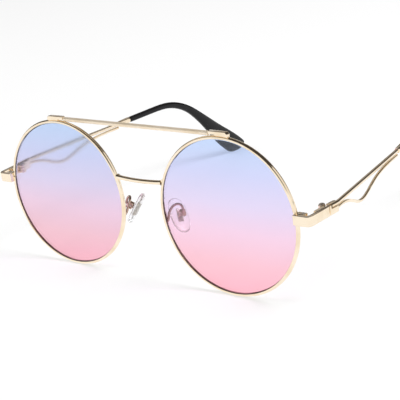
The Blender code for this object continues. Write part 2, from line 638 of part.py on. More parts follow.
def pad_matrix():
    """The left pad's pivot in the front's frame: +Y out of the pad's face, +Z up it, +X along the screw."""
    up = Vector(PAD_LONG_SHARES).normalized()
    face = Vector(PAD_FACE_SHARES)
    face = (face - face.dot(up) * up).normalized()
    screw_axis = face.cross(up)
    pivot = Vector((PAD_SPREAD, PAD_SETBACK, -PAD_DROP)) - PAD_PIVOT_REACH * face
    turn = Matrix((screw_axis, face, up)).transposed().to_4x4()
    return Matrix.Translation(pivot) @ turn


def make_nose_pad(side_name, side, finish, core_finish, pad):
    """A soft pad, leaning forwards at the top, moulded round a flat stub whose tab stands in the pad box."""
    middle = PAD_PIVOT_REACH
    rings = []
    for depth_share, size_share in PAD_LAYER_SHARES:
        ring = []
        for k in range(PAD_SIDES):
            turn = 2 * math.pi * k / PAD_SIDES
            across = math.copysign(abs(math.cos(turn)) ** (2 / PAD_FULLNESS), math.cos(turn))
            upward = math.copysign(abs(math.sin(turn)) ** (2 / PAD_FULLNESS), math.sin(turn))
            height = PAD_LENGTH / 2 * (1 - (1 - size_share) * PAD_WIDTH / PAD_LENGTH) * upward
            ring.append((PAD_WIDTH / 2 * size_share * across - height * PAD_LEAN_SHARE,
                         middle + PAD_THICKNESS / 2 * depth_share, height))
        rings.append(ring)
    body = solid("nose_pad_" + side_name, loft(rings), finish, pad, side)
    back = middle - PAD_THICKNESS / 2
    foot_low = back + SEAT_GAP
    foot_high = foot_low + CORE_FOOT_THICKNESS
    pocket = box(
        (-CORE_FOOT_WIDTH / 2 - SEAT_GAP, back - CUT_OVERRUN, -CORE_FOOT_LENGTH / 2 - SEAT_GAP),
        (CORE_FOOT_WIDTH / 2 + SEAT_GAP, foot_high + SEAT_GAP, CORE_FOOT_LENGTH / 2 + SEAT_GAP))
    cut(body, solid("pad_pocket_cutter_" + side_name, pocket, finish, pad, side))
    half_tab, half_foot = TAB_THICKNESS / 2, CORE_FOOT_WIDTH / 2
    outline = [(-half_foot, foot_high), (-half_foot, foot_low), (-half_tab, foot_low), (-half_tab, TAB_BACK),
               (half_tab, TAB_BACK), (half_tab, foot_low), (half_foot, foot_low), (half_foot, foot_high)]
    core = solid("pad_core_" + side_name, extruded(outline, -CORE_FOOT_LENGTH / 2, CORE_FOOT_LENGTH / 2),
                 core_finish, pad, side)
    waste = CORE_FOOT_LENGTH
    for level, low, high in (("top", TAB_HEIGHT / 2, waste), ("bottom", -waste, -TAB_HEIGHT / 2)):
        trim = box((-BOX_WIDTH, TAB_BACK - CUT_OVERRUN, low), (BOX_WIDTH, foot_low, high))
        cut(core, solid("core_" + level + "_cutter_" + side_name, trim, core_finish, pad, side))
    cut(core, solid("core_bore_cutter_" + side_name, cross_bore(), core_finish, pad, side))


def cross_bore():
    """The pad screw's clearance hole, along X."""
    bore = cylinder((0, 0), PAD_BORE, -BOX_WIDTH, BOX_WIDTH)
    bmesh.ops.rotate(bore, cent=(0, 0, 0), matrix=Matrix.Rotation(math.pi / 2, 3, "Y"), verts=bore.verts)
    return bore


def make_pad_box(side_name, side, finish, screw_finish, pad_seat):
    """A channel open towards the pad, with the pad screw across it."""
    half, inside, floor = BOX_WIDTH / 2, BOX_WIDTH / 2 - BOX_WALL, BOX_BACK + BOX_WALL
    outline = [(-half, BOX_BACK), (half, BOX_BACK), (half, BOX_FRONT), (inside, BOX_FRONT), (inside, floor),
               (-inside, floor), (-inside, BOX_FRONT), (-half, BOX_FRONT)]
    bm = extruded(outline, -BOX_HEIGHT / 2, BOX_HEIGHT / 2)
    channel = solid("pad_box_" + side_name, bm, finish, pad_seat, side)
    cut(channel, solid("box_bore_cutter_" + side_name, cross_bore(), finish, pad_seat, side))
    to_side = Matrix.Translation((half + SCREW_HEAD_GAP, 0, 0)) @ Matrix.Rotation(math.pi / 2, 4, "Y")
    screw("pad_screw_" + side_name, screw_finish, pad_seat, side, PAD_SCREW_RADIUS, PAD_SCREW_HEAD_RADIUS,
          PAD_SCREW_HEAD_HEIGHT, BOX_WIDTH + SCREW_HEAD_GAP, to_side)


def make_pad_arm(side_name, side, finish, front):
    """A thin wire from the back of the rim, up and over in a loop, down to the back of the pad box."""
    rim_middle = RIM_OUTER_RADIUS - RIM_WIDTH / 2
    foot_reach = math.sqrt(rim_middle**2 - ARM_FOOT_DROP**2)
    foot = Vector((LENS_X - foot_reach, RIM_DEPTH + SEAT_GAP, -ARM_FOOT_DROP))
    end = pad_matrix() @ Vector((0, BOX_BACK - SEAT_GAP, 0))
    span = end - foot
    loop = [foot + Vector((span.x * across, span.y * back, ARM_RISE * up))
            for across, back, up in ARM_PATH_SHARES]
    wire("pad_arm_" + side_name, [foot] + loop + [end], ARM_RADIUS, finish, front, side)


def visible_points():
    """Every vertex of the finished pieces, in world space."""
    bpy.context.view_layer.update()
    graph = bpy.context.evaluated_depsgraph_get()
    points = []
    for obj in bpy.data.objects:
        if obj.type in {"MESH", "CURVE"} and not obj.hide_render:
            evaluated = obj.evaluated_get(graph)
            points += [obj.matrix_world @ vertex.co for vertex in evaluated.to_mesh().vertices]
            evaluated.to_mesh_clear()
    return points


def stand_on_table(root):
    """Tips the pair until the rims and the ear tips rest level, and brings it over the origin."""
    for _ in range(SETTLING_ROUNDS):
        points = visible_points()
        middle = (min(point.y for point in points) + max(point.y for point in points)) / 2
        front = min((point for point in points if point.y < middle), key=lambda point: point.z)
        rear = min((point for point in points if point.y >= middle), key=lambda point: point.z)
        root.rotation_euler.x -= math.atan2(rear.z - front.z, rear.y - front.y)
    points = visible_points()
    low = [min(point[axis] for point in points) for axis in range(3)]
    high = [max(point[axis] for point in points) for axis in range(3)]
    root.location = (-(low[0] + high[0]) / 2, -(low[1] + high[1]) / 2, -low[2])


def main():
    clear_scene()
    gold = material("polished_gold", (0.86, 0.62, 0.38), 0.18, metallic=1.0)
    steel = material("screw_steel", (0.62, 0.58, 0.54), 0.3, metallic=1.0)
    tint = material("graduated_lens", (0.74, 0.66, 0.92), 0.05, alpha=0.45)
    black = material("black_tip", (0.012, 0.012, 0.015), 0.22)
    clear_pad = material("clear_pad", (0.88, 0.90, 0.90), 0.15, alpha=0.5)
    core_metal = material("pad_core_metal", (0.55, 0.52, 0.50), 0.35, metallic=1.0)

    root = empty("sunglasses", None, Matrix.Identity(4))
    front = empty("front_frame", root, Matrix.Rotation(-FRONT_LEAN, 4, "X"))
    make_brow_bar(gold, front)
    make_bridge(gold, front)
    axis_x, axis_y = hinge_place()
    hinge_matrix = Matrix.Translation((axis_x, axis_y, STRIP_RISE)) @ Matrix.Rotation(-SIDE_SPLAY, 4, "Z")
    wires_matrix = Matrix.Translation((AXIS_OFFSET, WIRE_START, BAR_RISE))
    wires_matrix @= Matrix.Rotation(SIDE_SPLAY + TEMPLE_TOE_IN, 4, "Z")

    for side_name, side in (("left", 1), ("right", -1)):
        hinge = empty("hinge_axis_" + side_name, root, mirrored(hinge_matrix, side))
        temple = empty("temple_pivot_" + side_name, root, mirrored(hinge_matrix, side))
        wires = empty("temple_wires_" + side_name, temple, mirrored(wires_matrix, side))
        pad_seat = empty("pad_seat_" + side_name, front, mirrored(pad_matrix(), side))
        pad = empty("pad_pivot_" + side_name, front, mirrored(pad_matrix(), side))
        make_rim(side_name, side, gold, front)
        make_lens(side_name, side, tint, front)
        make_brow_block(side_name, side, gold, front)
        make_end_piece(side_name, side, gold, root)
        make_closing_block(side_name, side, gold, steel, front)
        make_hinge(side_name, side, gold, steel, hinge, temple)
        make_temple_plate(side_name, side, gold, temple)
        make_temple_bar(side_name, side, gold, wires)
        make_wave_wire(side_name, side, gold, wires)
        make_collar(side_name, side, gold, wires)
        make_temple_tip(side_name, side, black, wires)
        make_pad_arm(side_name, side, gold, front)
        make_pad_box(side_name, side, gold, steel, pad_seat)
        make_nose_pad(side_name, side, clear_pad, core_metal, pad)
    stand_on_table(root)


main()
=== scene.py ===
"""The looks of the round sunglasses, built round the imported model.

The glasses stand open on a pale table: the front faces -Y, the temples run towards +Y, +Z is up.
Left and right are the wearer's. Each left piece is modelled once and copied to the right side.
"""

import math

import bpy
from mathutils import Matrix, Vector


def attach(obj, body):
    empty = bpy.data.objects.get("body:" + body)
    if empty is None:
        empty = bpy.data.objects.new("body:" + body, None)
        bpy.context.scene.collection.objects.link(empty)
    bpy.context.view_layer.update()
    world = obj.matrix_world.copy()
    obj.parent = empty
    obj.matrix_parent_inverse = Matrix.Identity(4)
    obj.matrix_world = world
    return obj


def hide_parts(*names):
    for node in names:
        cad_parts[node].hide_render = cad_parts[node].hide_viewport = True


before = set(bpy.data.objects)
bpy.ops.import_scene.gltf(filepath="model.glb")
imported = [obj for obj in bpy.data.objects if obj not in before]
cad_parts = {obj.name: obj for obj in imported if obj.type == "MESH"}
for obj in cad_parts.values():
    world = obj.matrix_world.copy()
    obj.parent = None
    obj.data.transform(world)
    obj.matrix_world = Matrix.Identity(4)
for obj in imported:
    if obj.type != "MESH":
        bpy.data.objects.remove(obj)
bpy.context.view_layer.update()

# Camera
# A long lens, close to the table and to the wearer's left of the nose, with the far rim nearly edge on.
# The front stands almost upright: its frame is the plane of both rims, with the nose at its middle.
FRONT_HEIGHT = 0.029015
FRONT_Y = -0.071965
FRONT_LEAN = math.radians(-0.897)
front_place = Matrix.Translation((0, FRONT_Y, FRONT_HEIGHT)) @ Matrix.Rotation(FRONT_LEAN, 4, "X")
bpy.ops.object.select_all(action="DESELECT")
bpy.ops.object.camera_add()
camera = bpy.context.active_object
camera.name = "photo_camera"
camera.data.sensor_width = 36
camera.data.lens = 96.4
camera.data.clip_start = 0.01
eye = Matrix((
    (0.79056, -0.11436, 0.60162, 0.24878),
    (0.60248, 0.32134, -0.73060, -0.26880),
    (-0.10977, 0.94003, 0.32293, 0.12412),
    (0, 0, 0, 1),
))
camera.matrix_world = front_place @ eye
bpy.context.scene.camera = camera
bpy.context.scene.view_settings.view_transform = "Standard"

# Rims
# Each eyewire is a thin grooved wire of gold-plated nickel silver, rolled into a ring and cut open at the
# end piece, where the closing block draws it together round the lens.
LENS_X = 0.0379
RIM_OUTER = 0.0290
RIM_INNER = 0.0278
RIM_DEPTH = 0.00175
RIM_EDGE = 0.00018
RIM_EASE = 0.00014
RIM_CROWN = 0.00042
CROWN_STEPS = 8
GROOVE_Y = 0.00105
GROOVE_DEPTH = 0.0006
GROOVE_MOUTH = 0.0009
GROOVE_FLOOR = 0.0004
STRIP_RISE = 0.0037
RIM_SPLIT = 0.0004
RIM_STEPS = 168
# How far in and how inward-facing the rim faces are that take the painted groove shade.
GROOVE_SHADE_REACH = RIM_INNER + GROOVE_DEPTH * 1.1
GROOVE_SHADE_FACING = -0.2
WELD = 0.000001
SMOOTH_ANGLE = math.radians(40)
SHARP_ANGLE = math.radians(30)


class Shade:
    """One socket of a material's nodes. Arithmetic on it adds the Math nodes that work it out."""

    def __init__(self, tree, socket=None):
        self.tree = tree
        self.socket = socket

    def node(self, kind, settings=None, inputs=None, output=0):
        """Adds a node: first its settings, then the values or links of its sockets."""
        made = self.tree.nodes.new(kind)
        for name, value in (settings or {}).items():
            if name == "stops":
                ramp = made.color_ramp.elements
                while len(ramp) < len(value):
                    ramp.new(1)
                for element, (position, colour) in zip(ramp, value):
                    element.position = position
                    element.color = (*colour, 1)
            else:
                setattr(made, name, value)
        for name, value in (inputs or {}).items():
            self.feed(made.inputs[name], value)
        return Shade(self.tree, made.outputs[output])

    def feed(self, socket, value):
        if isinstance(value, Shade):
            self.tree.links.new(value.socket, socket)
        else:
            socket.default_value = value

    def math(self, operation, *values):
        return self.node("ShaderNodeMath", {"operation": operation}, dict(enumerate(values)))

    def __add__(self, other):
        return self.math("ADD", self, other)

    def __radd__(self, other):
        return self.math("ADD", other, self)

    def __sub__(self, other):
        return self.math("SUBTRACT", self, other)

    def __rsub__(self, other):
        return self.math("SUBTRACT", other, self)

    def __mul__(self, other):
        return self.math("MULTIPLY", self, other)

    def __rmul__(self, other):
        return self.math("MULTIPLY", other, self)

    def step(self, low, high):
        """A smooth step from 0 at low to 1 at high."""
        settings = {"interpolation_type": "SMOOTHSTEP"}
        return self.node("ShaderNodeMapRange", settings, {"Value": self, "From Min": low, "From Max": high})

    def blend(self, first, second):
        """A colour that goes from first to second as this value goes from 0 to 1."""
        settings = {"data_type": "RGBA"}
        return self.node("ShaderNodeMix", settings, {0: self, 6: first, 7: second}, output=2)

    def grain(self, scale, detail=2.0, stretch=(1, 1, 1)):
        """Noise on the object's own coordinates, stretched along an axis."""
        place = self.node("ShaderNodeTexCoord", output="Object")
        place = self.node("ShaderNodeMapping", {}, {"Vector": place, "Scale": stretch})
        return self.node("ShaderNodeTexNoise", {}, {"Vector": place, "Scale": scale, "Detail": detail}, "Fac")


def finish(name, **constants):
    """A new material, the maker of its nodes, and its shader's sockets."""
    made = bpy.data.materials.new(name)
    made.use_nodes = True
    sockets = made.node_tree.nodes["Principled BSDF"].inputs
    for label, value in constants.items():
        sockets[label.replace("_", " ")].default_value = value
    return made, Shade(made.node_tree), sockets


def dress(shade, sockets, colour, roughness, height, strength, distance):
    """Feeds a finish's colour and roughness, and a fine relief of some strength and depth."""
    relief = {"Height": height, "Strength": strength, "Distance": distance}
    shade.feed(sockets["Base Color"], colour)
    shade.feed(sockets["Roughness"], roughness)
    shade.feed(sockets["Normal"], shade.node("ShaderNodeBump", {}, relief, "Normal"))


def mix_surface(made, shade, factor, other):
    """Mixes another shader into a material's own, by a factor from 0 to 1."""
    nodes = made.node_tree.nodes
    own = Shade(made.node_tree, nodes["Principled BSDF"].outputs[0])
    mixed = shade.node("ShaderNodeMixShader", {}, {0: factor, 1: own, 2: other})
    shade.feed(nodes["Material Output"].inputs["Surface"], mixed)


def gold_plating(name, polish, pale=(1.0, 0.87, 0.69, 1), warm=(0.93, 0.77, 0.56, 1), metal=1.0):
    """Pale gold plating: its tone drifts a little, with fine rubbing marks along the wires."""
    made, shade, sockets = finish(name, Metallic=metal)
    drift = shade.grain(140, 2)
    rubbed = shade.grain(900, 4, (1, 0.25, 1))
    colour = drift.step(0.35, 0.75).blend(pale, warm)
    dress(shade, sockets, colour, polish + drift * 0.05 + rubbed.step(0.5, 0.8) * 0.10, rubbed, 0.06, 0.00005)
    return made


def painted_groove_shade():
    """The rim's inner wall and groove: rougher metal, coloured dark brown as painted shade round the lens
    edge.
    """
    made, shade, sockets = finish("painted_groove_shade", Metallic=1.0)
    rolled = shade.grain(1200, 4, (1, 0.3, 1))
    colour = rolled.step(0.3, 0.7).blend((0.17, 0.11, 0.09, 1), (0.10, 0.065, 0.05, 1))
    dress(shade, sockets, colour, 0.32 + rolled * 0.2, rolled, 0.1, 0.00004)
    return made


def start_shape(add, name, **settings):
    """Adds a primitive with nothing else selected, and names it."""
    bpy.ops.object.select_all(action="DESELECT")
    add(**settings)
    piece = bpy.context.active_object
    piece.name = piece.data.name = name
    return piece


def choose(piece):
    bpy.ops.object.select_all(action="DESELECT")
    piece.select_set(True)
    bpy.context.view_layer.objects.active = piece


def tidy_mesh(piece):
    """Merges doubles, drops loose edges, closes open ends and turns the faces outwards."""
    choose(piece)
    bpy.ops.object.mode_set(mode="EDIT")
    bpy.ops.mesh.select_all(action="SELECT")
    bpy.ops.mesh.remove_doubles(threshold=WELD)
    bpy.ops.mesh.delete_loose()
    bpy.ops.mesh.select_all(action="SELECT")
    bpy.ops.mesh.fill_holes(sides=0)
    bpy.ops.mesh.select_all(action="SELECT")
    bpy.ops.mesh.normals_make_consistent(inside=False)
    bpy.ops.object.mode_set(mode="OBJECT")


def spun(name, section, axis_point, axis, steps, sweep=2 * math.pi):
    """Draws a closed section as a circle of points and spins it about an axis."""
    piece = start_shape(bpy.ops.mesh.primitive_circle_add, name, vertices=len(section))
    for vertex, spot in zip(piece.data.vertices, section):
        vertex.co = spot
    bpy.ops.object.mode_set(mode="EDIT")
    bpy.ops.mesh.select_all(action="SELECT")
    bpy.ops.mesh.spin(steps=steps, angle=sweep, center=axis_point, axis=axis)
    bpy.ops.object.mode_set(mode="OBJECT")
    tidy_mesh(piece)
    return piece


def ease_edges(piece, width, segments=3):
    """Rounds the sharp edges with a bevel and shades the rest smooth."""
    choose(piece)
    bevel = piece.modifiers.new("eased_edges", "BEVEL")
    bevel.width = width
    bevel.segments = segments
    bevel.limit_method = "ANGLE"
    bevel.angle_limit = SHARP_ANGLE
    bpy.ops.object.modifier_apply(modifier=bevel.name)
    bpy.ops.object.shade_smooth_by_angle(angle=SMOOTH_ANGLE)


def put(piece, place):
    """Moves a piece to its place and writes the place into its mesh."""
    choose(piece)
    piece.matrix_world = place @ piece.matrix_world
    bpy.ops.object.transform_apply(location=True, rotation=True, scale=True)


def other_side(piece):
    """A mirrored copy for the wearer's right, with its own mesh."""
    choose(piece)
    bpy.ops.object.duplicate(linked=False)
    twin = bpy.context.active_object
    twin.name = twin.data.name = piece.name.replace("left", "right")
    twin.scale.x = -1
    bpy.ops.object.transform_apply(location=True, rotation=True, scale=True)
    bpy.ops.object.mode_set(mode="EDIT")
    bpy.ops.mesh.select_all(action="SELECT")
    bpy.ops.mesh.normals_make_consistent(inside=False)
    bpy.ops.object.mode_set(mode="OBJECT")
    return twin


def fit(piece, node, body, material):
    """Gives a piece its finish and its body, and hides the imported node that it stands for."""
    if not piece.data.materials:
        piece.data.materials.append(material)
    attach(piece, body)
    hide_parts(node)


def fit_pair(piece, node, body, material):
    """Fits a left piece and its mirrored copy."""
    twin = other_side(piece)
    sided = body + "_{}" if body in ("temple", "pad") else body
    fit(piece, node + "_left", sided.format("left"), material)
    fit(twin, node + "_right", sided.format("right"), material)


gold = gold_plating("polished_gold", 0.07)
crown = [k / CROWN_STEPS * 2 - 1 for k in range(CROWN_STEPS + 1)]
section = [(RIM_OUTER - RIM_CROWN * t * t, RIM_DEPTH / 2 * (1 - t)) for t in crown]
section += [
    (RIM_INNER + RIM_EDGE, 0),
    (RIM_INNER, RIM_EDGE),
    (RIM_INNER, GROOVE_Y - GROOVE_MOUTH / 2),
    (RIM_INNER + GROOVE_DEPTH, GROOVE_Y - GROOVE_FLOOR / 2),
    (RIM_INNER + GROOVE_DEPTH, GROOVE_Y + GROOVE_FLOOR / 2),
    (RIM_INNER, GROOVE_Y + GROOVE_MOUTH / 2),
    (RIM_INNER, RIM_DEPTH - RIM_EDGE),
    (RIM_INNER + RIM_EDGE, RIM_DEPTH),
]
split_middle = math.asin(STRIP_RISE / RIM_OUTER)
half_split = RIM_SPLIT / 2 / RIM_OUTER
turn = Matrix.Rotation(-(split_middle + half_split), 3, "Y")
section = [turn @ Vector((r, y, 0)) + Vector((LENS_X, 0, 0)) for r, y in section]
rim = spun("rim_left_eyewire", section, (LENS_X, 0, 0), (0, -1, 0), RIM_STEPS, 2 * math.pi - 2 * half_split)
ease_edges(rim, RIM_EASE, 2)
rim.data.materials.append(gold)
# The second material is painted shade on the rim's inner wall and groove, where the lens edge sits.
rim.data.materials.append(painted_groove_shade())
for face in rim.data.polygons:
    spoke = Vector((face.center.x - LENS_X, 0, face.center.z))
    inwards = face.normal.dot(spoke.normalized()) < GROOVE_SHADE_FACING
    inside = RIM_EDGE < face.center.y < RIM_DEPTH - RIM_EDGE and spoke.length < GROOVE_SHADE_REACH
    face.material_index = int(inwards and inside)
put(rim, front_place)
fit_pair(rim, "rim", "front", gold)

# Lenses
# Thin clear lenses with a shallow even curve. The tint is graduated: blue at the top, lilac in the middle,
# rose at the bottom. Their edge is bevelled and stands in the rim's groove.
LENS_BEVEL = 0.0003
LENS_RADIUS = RIM_INNER - LENS_BEVEL
LENS_TIP = RIM_INNER + LENS_BEVEL
LENS_THICKNESS = 0.0009
LENS_LAND = 0.0002
LENS_CURVE = 0.240
LENS_RINGS = 14
LENS_STEPS = 144
LENS_EDGE_ANGLE = math.radians(8)
TINT_LOW, TINT_HIGH = 0.0016, 0.0568
TINT_DRIFT = 0.0012
TINT_STOPS = (
    (0.0, (0.97, 0.48, 0.56)), (0.21, (0.97, 0.57, 0.66)), (0.42, (0.92, 0.65, 0.81)),
    (0.60, (0.78, 0.69, 0.91)), (0.80, (0.65, 0.68, 0.95)), (1.0, (0.57, 0.71, 0.98)),
)
HAZE_EDGE = 0.005
CLEAR_ROUGHNESS, HAZE_ROUGHNESS = 0.015, 0.085


def lens_sag(radius):
    return math.sqrt(LENS_CURVE**2 - LENS_RADIUS**2) - math.sqrt(LENS_CURVE**2 - radius**2)


def let_lamps_through(made, shade, colour):
    """Lamp rays pass a clear material as through a pale film, so that its shadow stays light."""
    film = shade.node("ShaderNodeBsdfTransparent", {}, {"Color": colour})
    mix_surface(made, shade, shade.node("ShaderNodeLightPath", output="Is Shadow Ray"), film)


def graduated_tint():
    """Clear tinted plastic, hazier on the wearer's right. Lamps reach what is behind it as through a film."""
    made, shade, sockets = finish("graduated_lens", IOR=1.49, Transmission_Weight=1.0)
    place = shade.node("ShaderNodeTexCoord", output="Object")
    height = shade.node("ShaderNodeSeparateXYZ", {}, {"Vector": place}, "Z")
    span = {"Value": height + shade.grain(45, 1) * TINT_DRIFT, "From Min": TINT_LOW, "From Max": TINT_HIGH}
    level = shade.node("ShaderNodeMapRange", {}, span)
    ramp = shade.node("ShaderNodeValToRGB", {"stops": TINT_STOPS}, {"Fac": level}, "Color")
    across = shade.node("ShaderNodeSeparateXYZ", {}, {"Vector": place}, "X")
    hazy = across.step(HAZE_EDGE, -HAZE_EDGE)
    denser = hazy.blend((1, 1, 1, 1), (0.92, 0.94, 0.95, 1))
    shade.feed(sockets["Roughness"], CLEAR_ROUGHNESS + hazy * HAZE_ROUGHNESS)
    settings = {"data_type": "RGBA", "blend_type": "MULTIPLY"}
    shade.feed(sockets["Base Color"], shade.node("ShaderNodeMix", settings, {0: 1.0, 6: ramp, 7: denser}, 2))
    let_lamps_through(made, shade, (0.94, 0.88, 0.96, 1))
    return made


tint = graduated_tint()
radii = [LENS_RADIUS * k / LENS_RINGS for k in range(LENS_RINGS + 1)]
half_lens = LENS_THICKNESS / 2
section = [(r, GROOVE_Y - half_lens + lens_sag(r)) for r in radii]
section += [(LENS_TIP, GROOVE_Y - LENS_LAND / 2), (LENS_TIP, GROOVE_Y + LENS_LAND / 2)]
section += [(r, GROOVE_Y + half_lens + lens_sag(r)) for r in reversed(radii)]
section = [(LENS_X + r, y, 0) for r, y in section]
lens = spun("lens_left_tinted", section, (LENS_X, 0, 0), (0, -1, 0), LENS_STEPS)
choose(lens)
bpy.ops.object.shade_smooth_by_angle(angle=LENS_EDGE_ANGLE)
put(lens, front_place)
fit_pair(lens, "lens", "front", tint)

# Brow blocks
# A low milled block soldered on top of each rim. Its outer two thirds sit on the rim, the end towards the
# nose stands clear of it with a straight underside, and the outer top corner is cut back.
BLOCK_HALF = 0.0040
BLOCK_SEAT = 0.0293
BLOCK_TOP = 0.03055
BLOCK_DEPTH = 0.0017
BLOCK_CUT = 0.0008
BLOCK_OVERHANG = 0.0027
BLOCK_SINK = 0.0004
BLOCK_EASE = 0.00022
CURVE_STEPS = 10


def flat_part(name, outline, low, high):
    """Fills an outline in X and Y and raises it along Z."""
    piece = start_shape(bpy.ops.mesh.primitive_circle_add, name, vertices=len(outline), fill_type="NGON")
    for vertex, (x, y) in zip(piece.data.vertices, outline):
        vertex.co = (x, y, low)
    bpy.ops.object.mode_set(mode="EDIT")
    bpy.ops.mesh.select_all(action="SELECT")
    bpy.ops.mesh.extrude_region_move(TRANSFORM_OT_translate={"value": (0, 0, high - low)})
    bpy.ops.object.mode_set(mode="OBJECT")
    tidy_mesh(piece)
    return piece


sunk = BLOCK_SEAT - BLOCK_SINK
reach = [-BLOCK_HALF + BLOCK_OVERHANG + (2 * BLOCK_HALF - BLOCK_OVERHANG) * k / CURVE_STEPS
         for k in range(CURVE_STEPS + 1)]
outline = [(LENS_X - BLOCK_HALF, BLOCK_TOP), (LENS_X - BLOCK_HALF, BLOCK_SEAT)]
outline.append((LENS_X + reach[0], BLOCK_SEAT))
outline += [(LENS_X + x, math.sqrt(sunk**2 - x**2)) for x in reach]
outline += [(LENS_X + BLOCK_HALF, BLOCK_TOP - BLOCK_CUT), (LENS_X + BLOCK_HALF - BLOCK_CUT, BLOCK_TOP)]
block = flat_part("brow_block_left_milled", outline, 0, BLOCK_DEPTH)
ease_edges(block, BLOCK_EASE)
put(block, Matrix.Translation((0, (RIM_DEPTH + BLOCK_DEPTH) / 2, 0)) @ Matrix.Rotation(math.pi / 2, 4, "X"))
put(block, front_place)
fit_pair(block, "brow_block", "front", gold)

# Brow bar
# One straight drawn wire between the two brow blocks, just below their tops. Each end is turned down to a
# thin neck that is soldered into the block, which leaves a fine dark line at the joint.
BAR_REACH = 0.0336
BAR_LEVEL = 0.02955
BROW_BAR_RADIUS = 0.0008
NECK_INSET = 0.0003
NECK_LENGTH = 0.0004
BAR_EASE = 0.00008
ROUND_SIDES = 40
END_FACING = 0.9
bar = start_shape(bpy.ops.mesh.primitive_cylinder_add, "brow_bar_drawn", vertices=ROUND_SIDES,
                  radius=BROW_BAR_RADIUS, depth=2 * BAR_REACH)
for end in (1, -1):
    bpy.ops.object.mode_set(mode="EDIT")
    bpy.ops.mesh.select_all(action="DESELECT")
    bpy.ops.object.mode_set(mode="OBJECT")
    for face in bar.data.polygons:
        face.select = face.normal.z * end > END_FACING
    bpy.ops.object.mode_set(mode="EDIT")
    bpy.ops.mesh.select_mode(type="FACE")
    bpy.ops.mesh.inset(thickness=NECK_INSET)
    bpy.ops.mesh.extrude_region_move(TRANSFORM_OT_translate={"value": (0, 0, end * NECK_LENGTH)})
    bpy.ops.mesh.select_mode(type="VERT")
    bpy.ops.object.mode_set(mode="OBJECT")
tidy_mesh(bar)
ease_edges(bar, BAR_EASE, 2)
put(bar, Matrix.Translation((0, RIM_DEPTH / 2, BAR_LEVEL)) @ Matrix.Rotation(math.pi / 2, 4, "Y"))
put(bar, front_place)
fit(bar, "brow_bar", "front", gold_plating("satin_gold", 0.45, metal=0.6))

# Bridge
# A round wire over the nose, bowed a little forwards and down, and soldered to the inner side of each rim.
# The solder flares where the wire meets the rim.
BRIDGE_RADIUS = 0.0008
BRIDGE_RISE = 0.00945
BRIDGE_BOW = 0.0006
BRIDGE_SAG = 0.00025
BRIDGE_GAP = 0.0003
SOLDER_REACH = 0.0004
BRIDGE_SHARES = (-1.0, -0.96, -0.90, -0.75, -0.4, 0.0, 0.4, 0.75, 0.90, 0.96, 1.0)
BRIDGE_FLARE = (1.45, 1.18, 1.02, 1, 1, 1, 1, 1, 1.02, 1.18, 1.45)
WIRE_RINGS = 6


def bent_wire(name, points, radius, swell=None, curve_steps=10, handles="AUTO"):
    """Bends a round wire through its points, with its ends closed. Swell widens it at chosen points."""
    wire = start_shape(bpy.ops.curve.primitive_bezier_curve_add, name)
    knots = wire.data.splines[0].bezier_points
    knots.add(len(points) - len(knots))
    for k, (knot, point) in enumerate(zip(knots, points)):
        knot.handle_left_type = knot.handle_right_type = handles
        knot.co = point
        knot.radius = swell[k] if swell else 1
    wire.data.bevel_depth = radius
    wire.data.bevel_resolution = WIRE_RINGS
    wire.data.resolution_u = curve_steps
    wire.data.use_fill_caps = True
    choose(wire)
    bpy.ops.object.convert(target="MESH")
    wire = bpy.context.active_object
    wire.name = wire.data.name = name
    tidy_mesh(wire)
    bpy.ops.object.shade_smooth_by_angle(angle=SMOOTH_ANGLE)
    return wire


rim_side = math.sqrt((RIM_OUTER + BRIDGE_GAP) ** 2 - (BRIDGE_RISE - BRIDGE_RADIUS) ** 2)
reach = LENS_X - rim_side + SOLDER_REACH
points = [(reach * t, RIM_DEPTH / 2 - BRIDGE_BOW * (1 - t * t), BRIDGE_RISE - BRIDGE_SAG * (1 - t * t))
          for t in BRIDGE_SHARES]
bridge = bent_wire("bridge_wire_soldered", points, BRIDGE_RADIUS, BRIDGE_FLARE)
put(bridge, front_place)
fit(bridge, "bridge_wire", "front", gold)

# End pieces
# A flat stamped strip that laps over the rim's front, turns the corner in one bend and runs back to the
# hinge seam. Behind the lap it is soldered to the rim and to the closing block.
BODY_TILT = math.radians(0.803)
body_place = Matrix.Translation((0, FRONT_Y, FRONT_HEIGHT)) @ Matrix.Rotation(BODY_TILT, 4, "X")
SIDE_SPLAY = math.radians(5.5)
STRIP_THICKNESS = 0.0014
STRIP_HALF = 0.0018
STRIP_FRONT = -0.0017
STRIP_BACK = STRIP_FRONT + STRIP_THICKNESS
STRIP_LAP_X = 0.0661
CORNER_X = 0.0728
CORNER_RADIUS = 0.0020
CORNER_FILLET = 0.0010
CORNER_STEPS = 20
SEAM_Y = 0.0093
SEAM_SIDE = 0.00015
SOLDER_END_X = 0.0694
SOLDER_BACK = 0.0002
STRIP_EASE = 0.00028
along = Vector((math.sin(SIDE_SPLAY), math.cos(SIDE_SPLAY)))
outward = Vector((math.cos(SIDE_SPLAY), -math.sin(SIDE_SPLAY)))
corner = Vector((CORNER_X - CORNER_RADIUS, STRIP_FRONT + CORNER_RADIUS))
leave = corner + CORNER_RADIUS * outward
seam = leave + along * (SEAM_Y - leave.y) / along.y
outer_end = seam - SEAM_SIDE * along
inner_end = outer_end - STRIP_THICKNESS * outward
fillet_y = STRIP_BACK + CORNER_FILLET
wall = inner_end + along * (fillet_y - inner_end.y) / along.y
fillet = Vector((wall.x - CORNER_FILLET / outward.x, fillet_y))
turns = [-math.pi / 2 + (math.pi / 2 - SIDE_SPLAY) * k / CORNER_STEPS for k in range(CORNER_STEPS + 1)]
outline = [Vector((STRIP_LAP_X, STRIP_FRONT))]
outline += [corner + CORNER_RADIUS * Vector((math.cos(a), math.sin(a))) for a in turns]
outline += [outer_end, inner_end]
outline += [fillet + CORNER_FILLET * Vector((math.cos(a), math.sin(a))) for a in reversed(turns)]
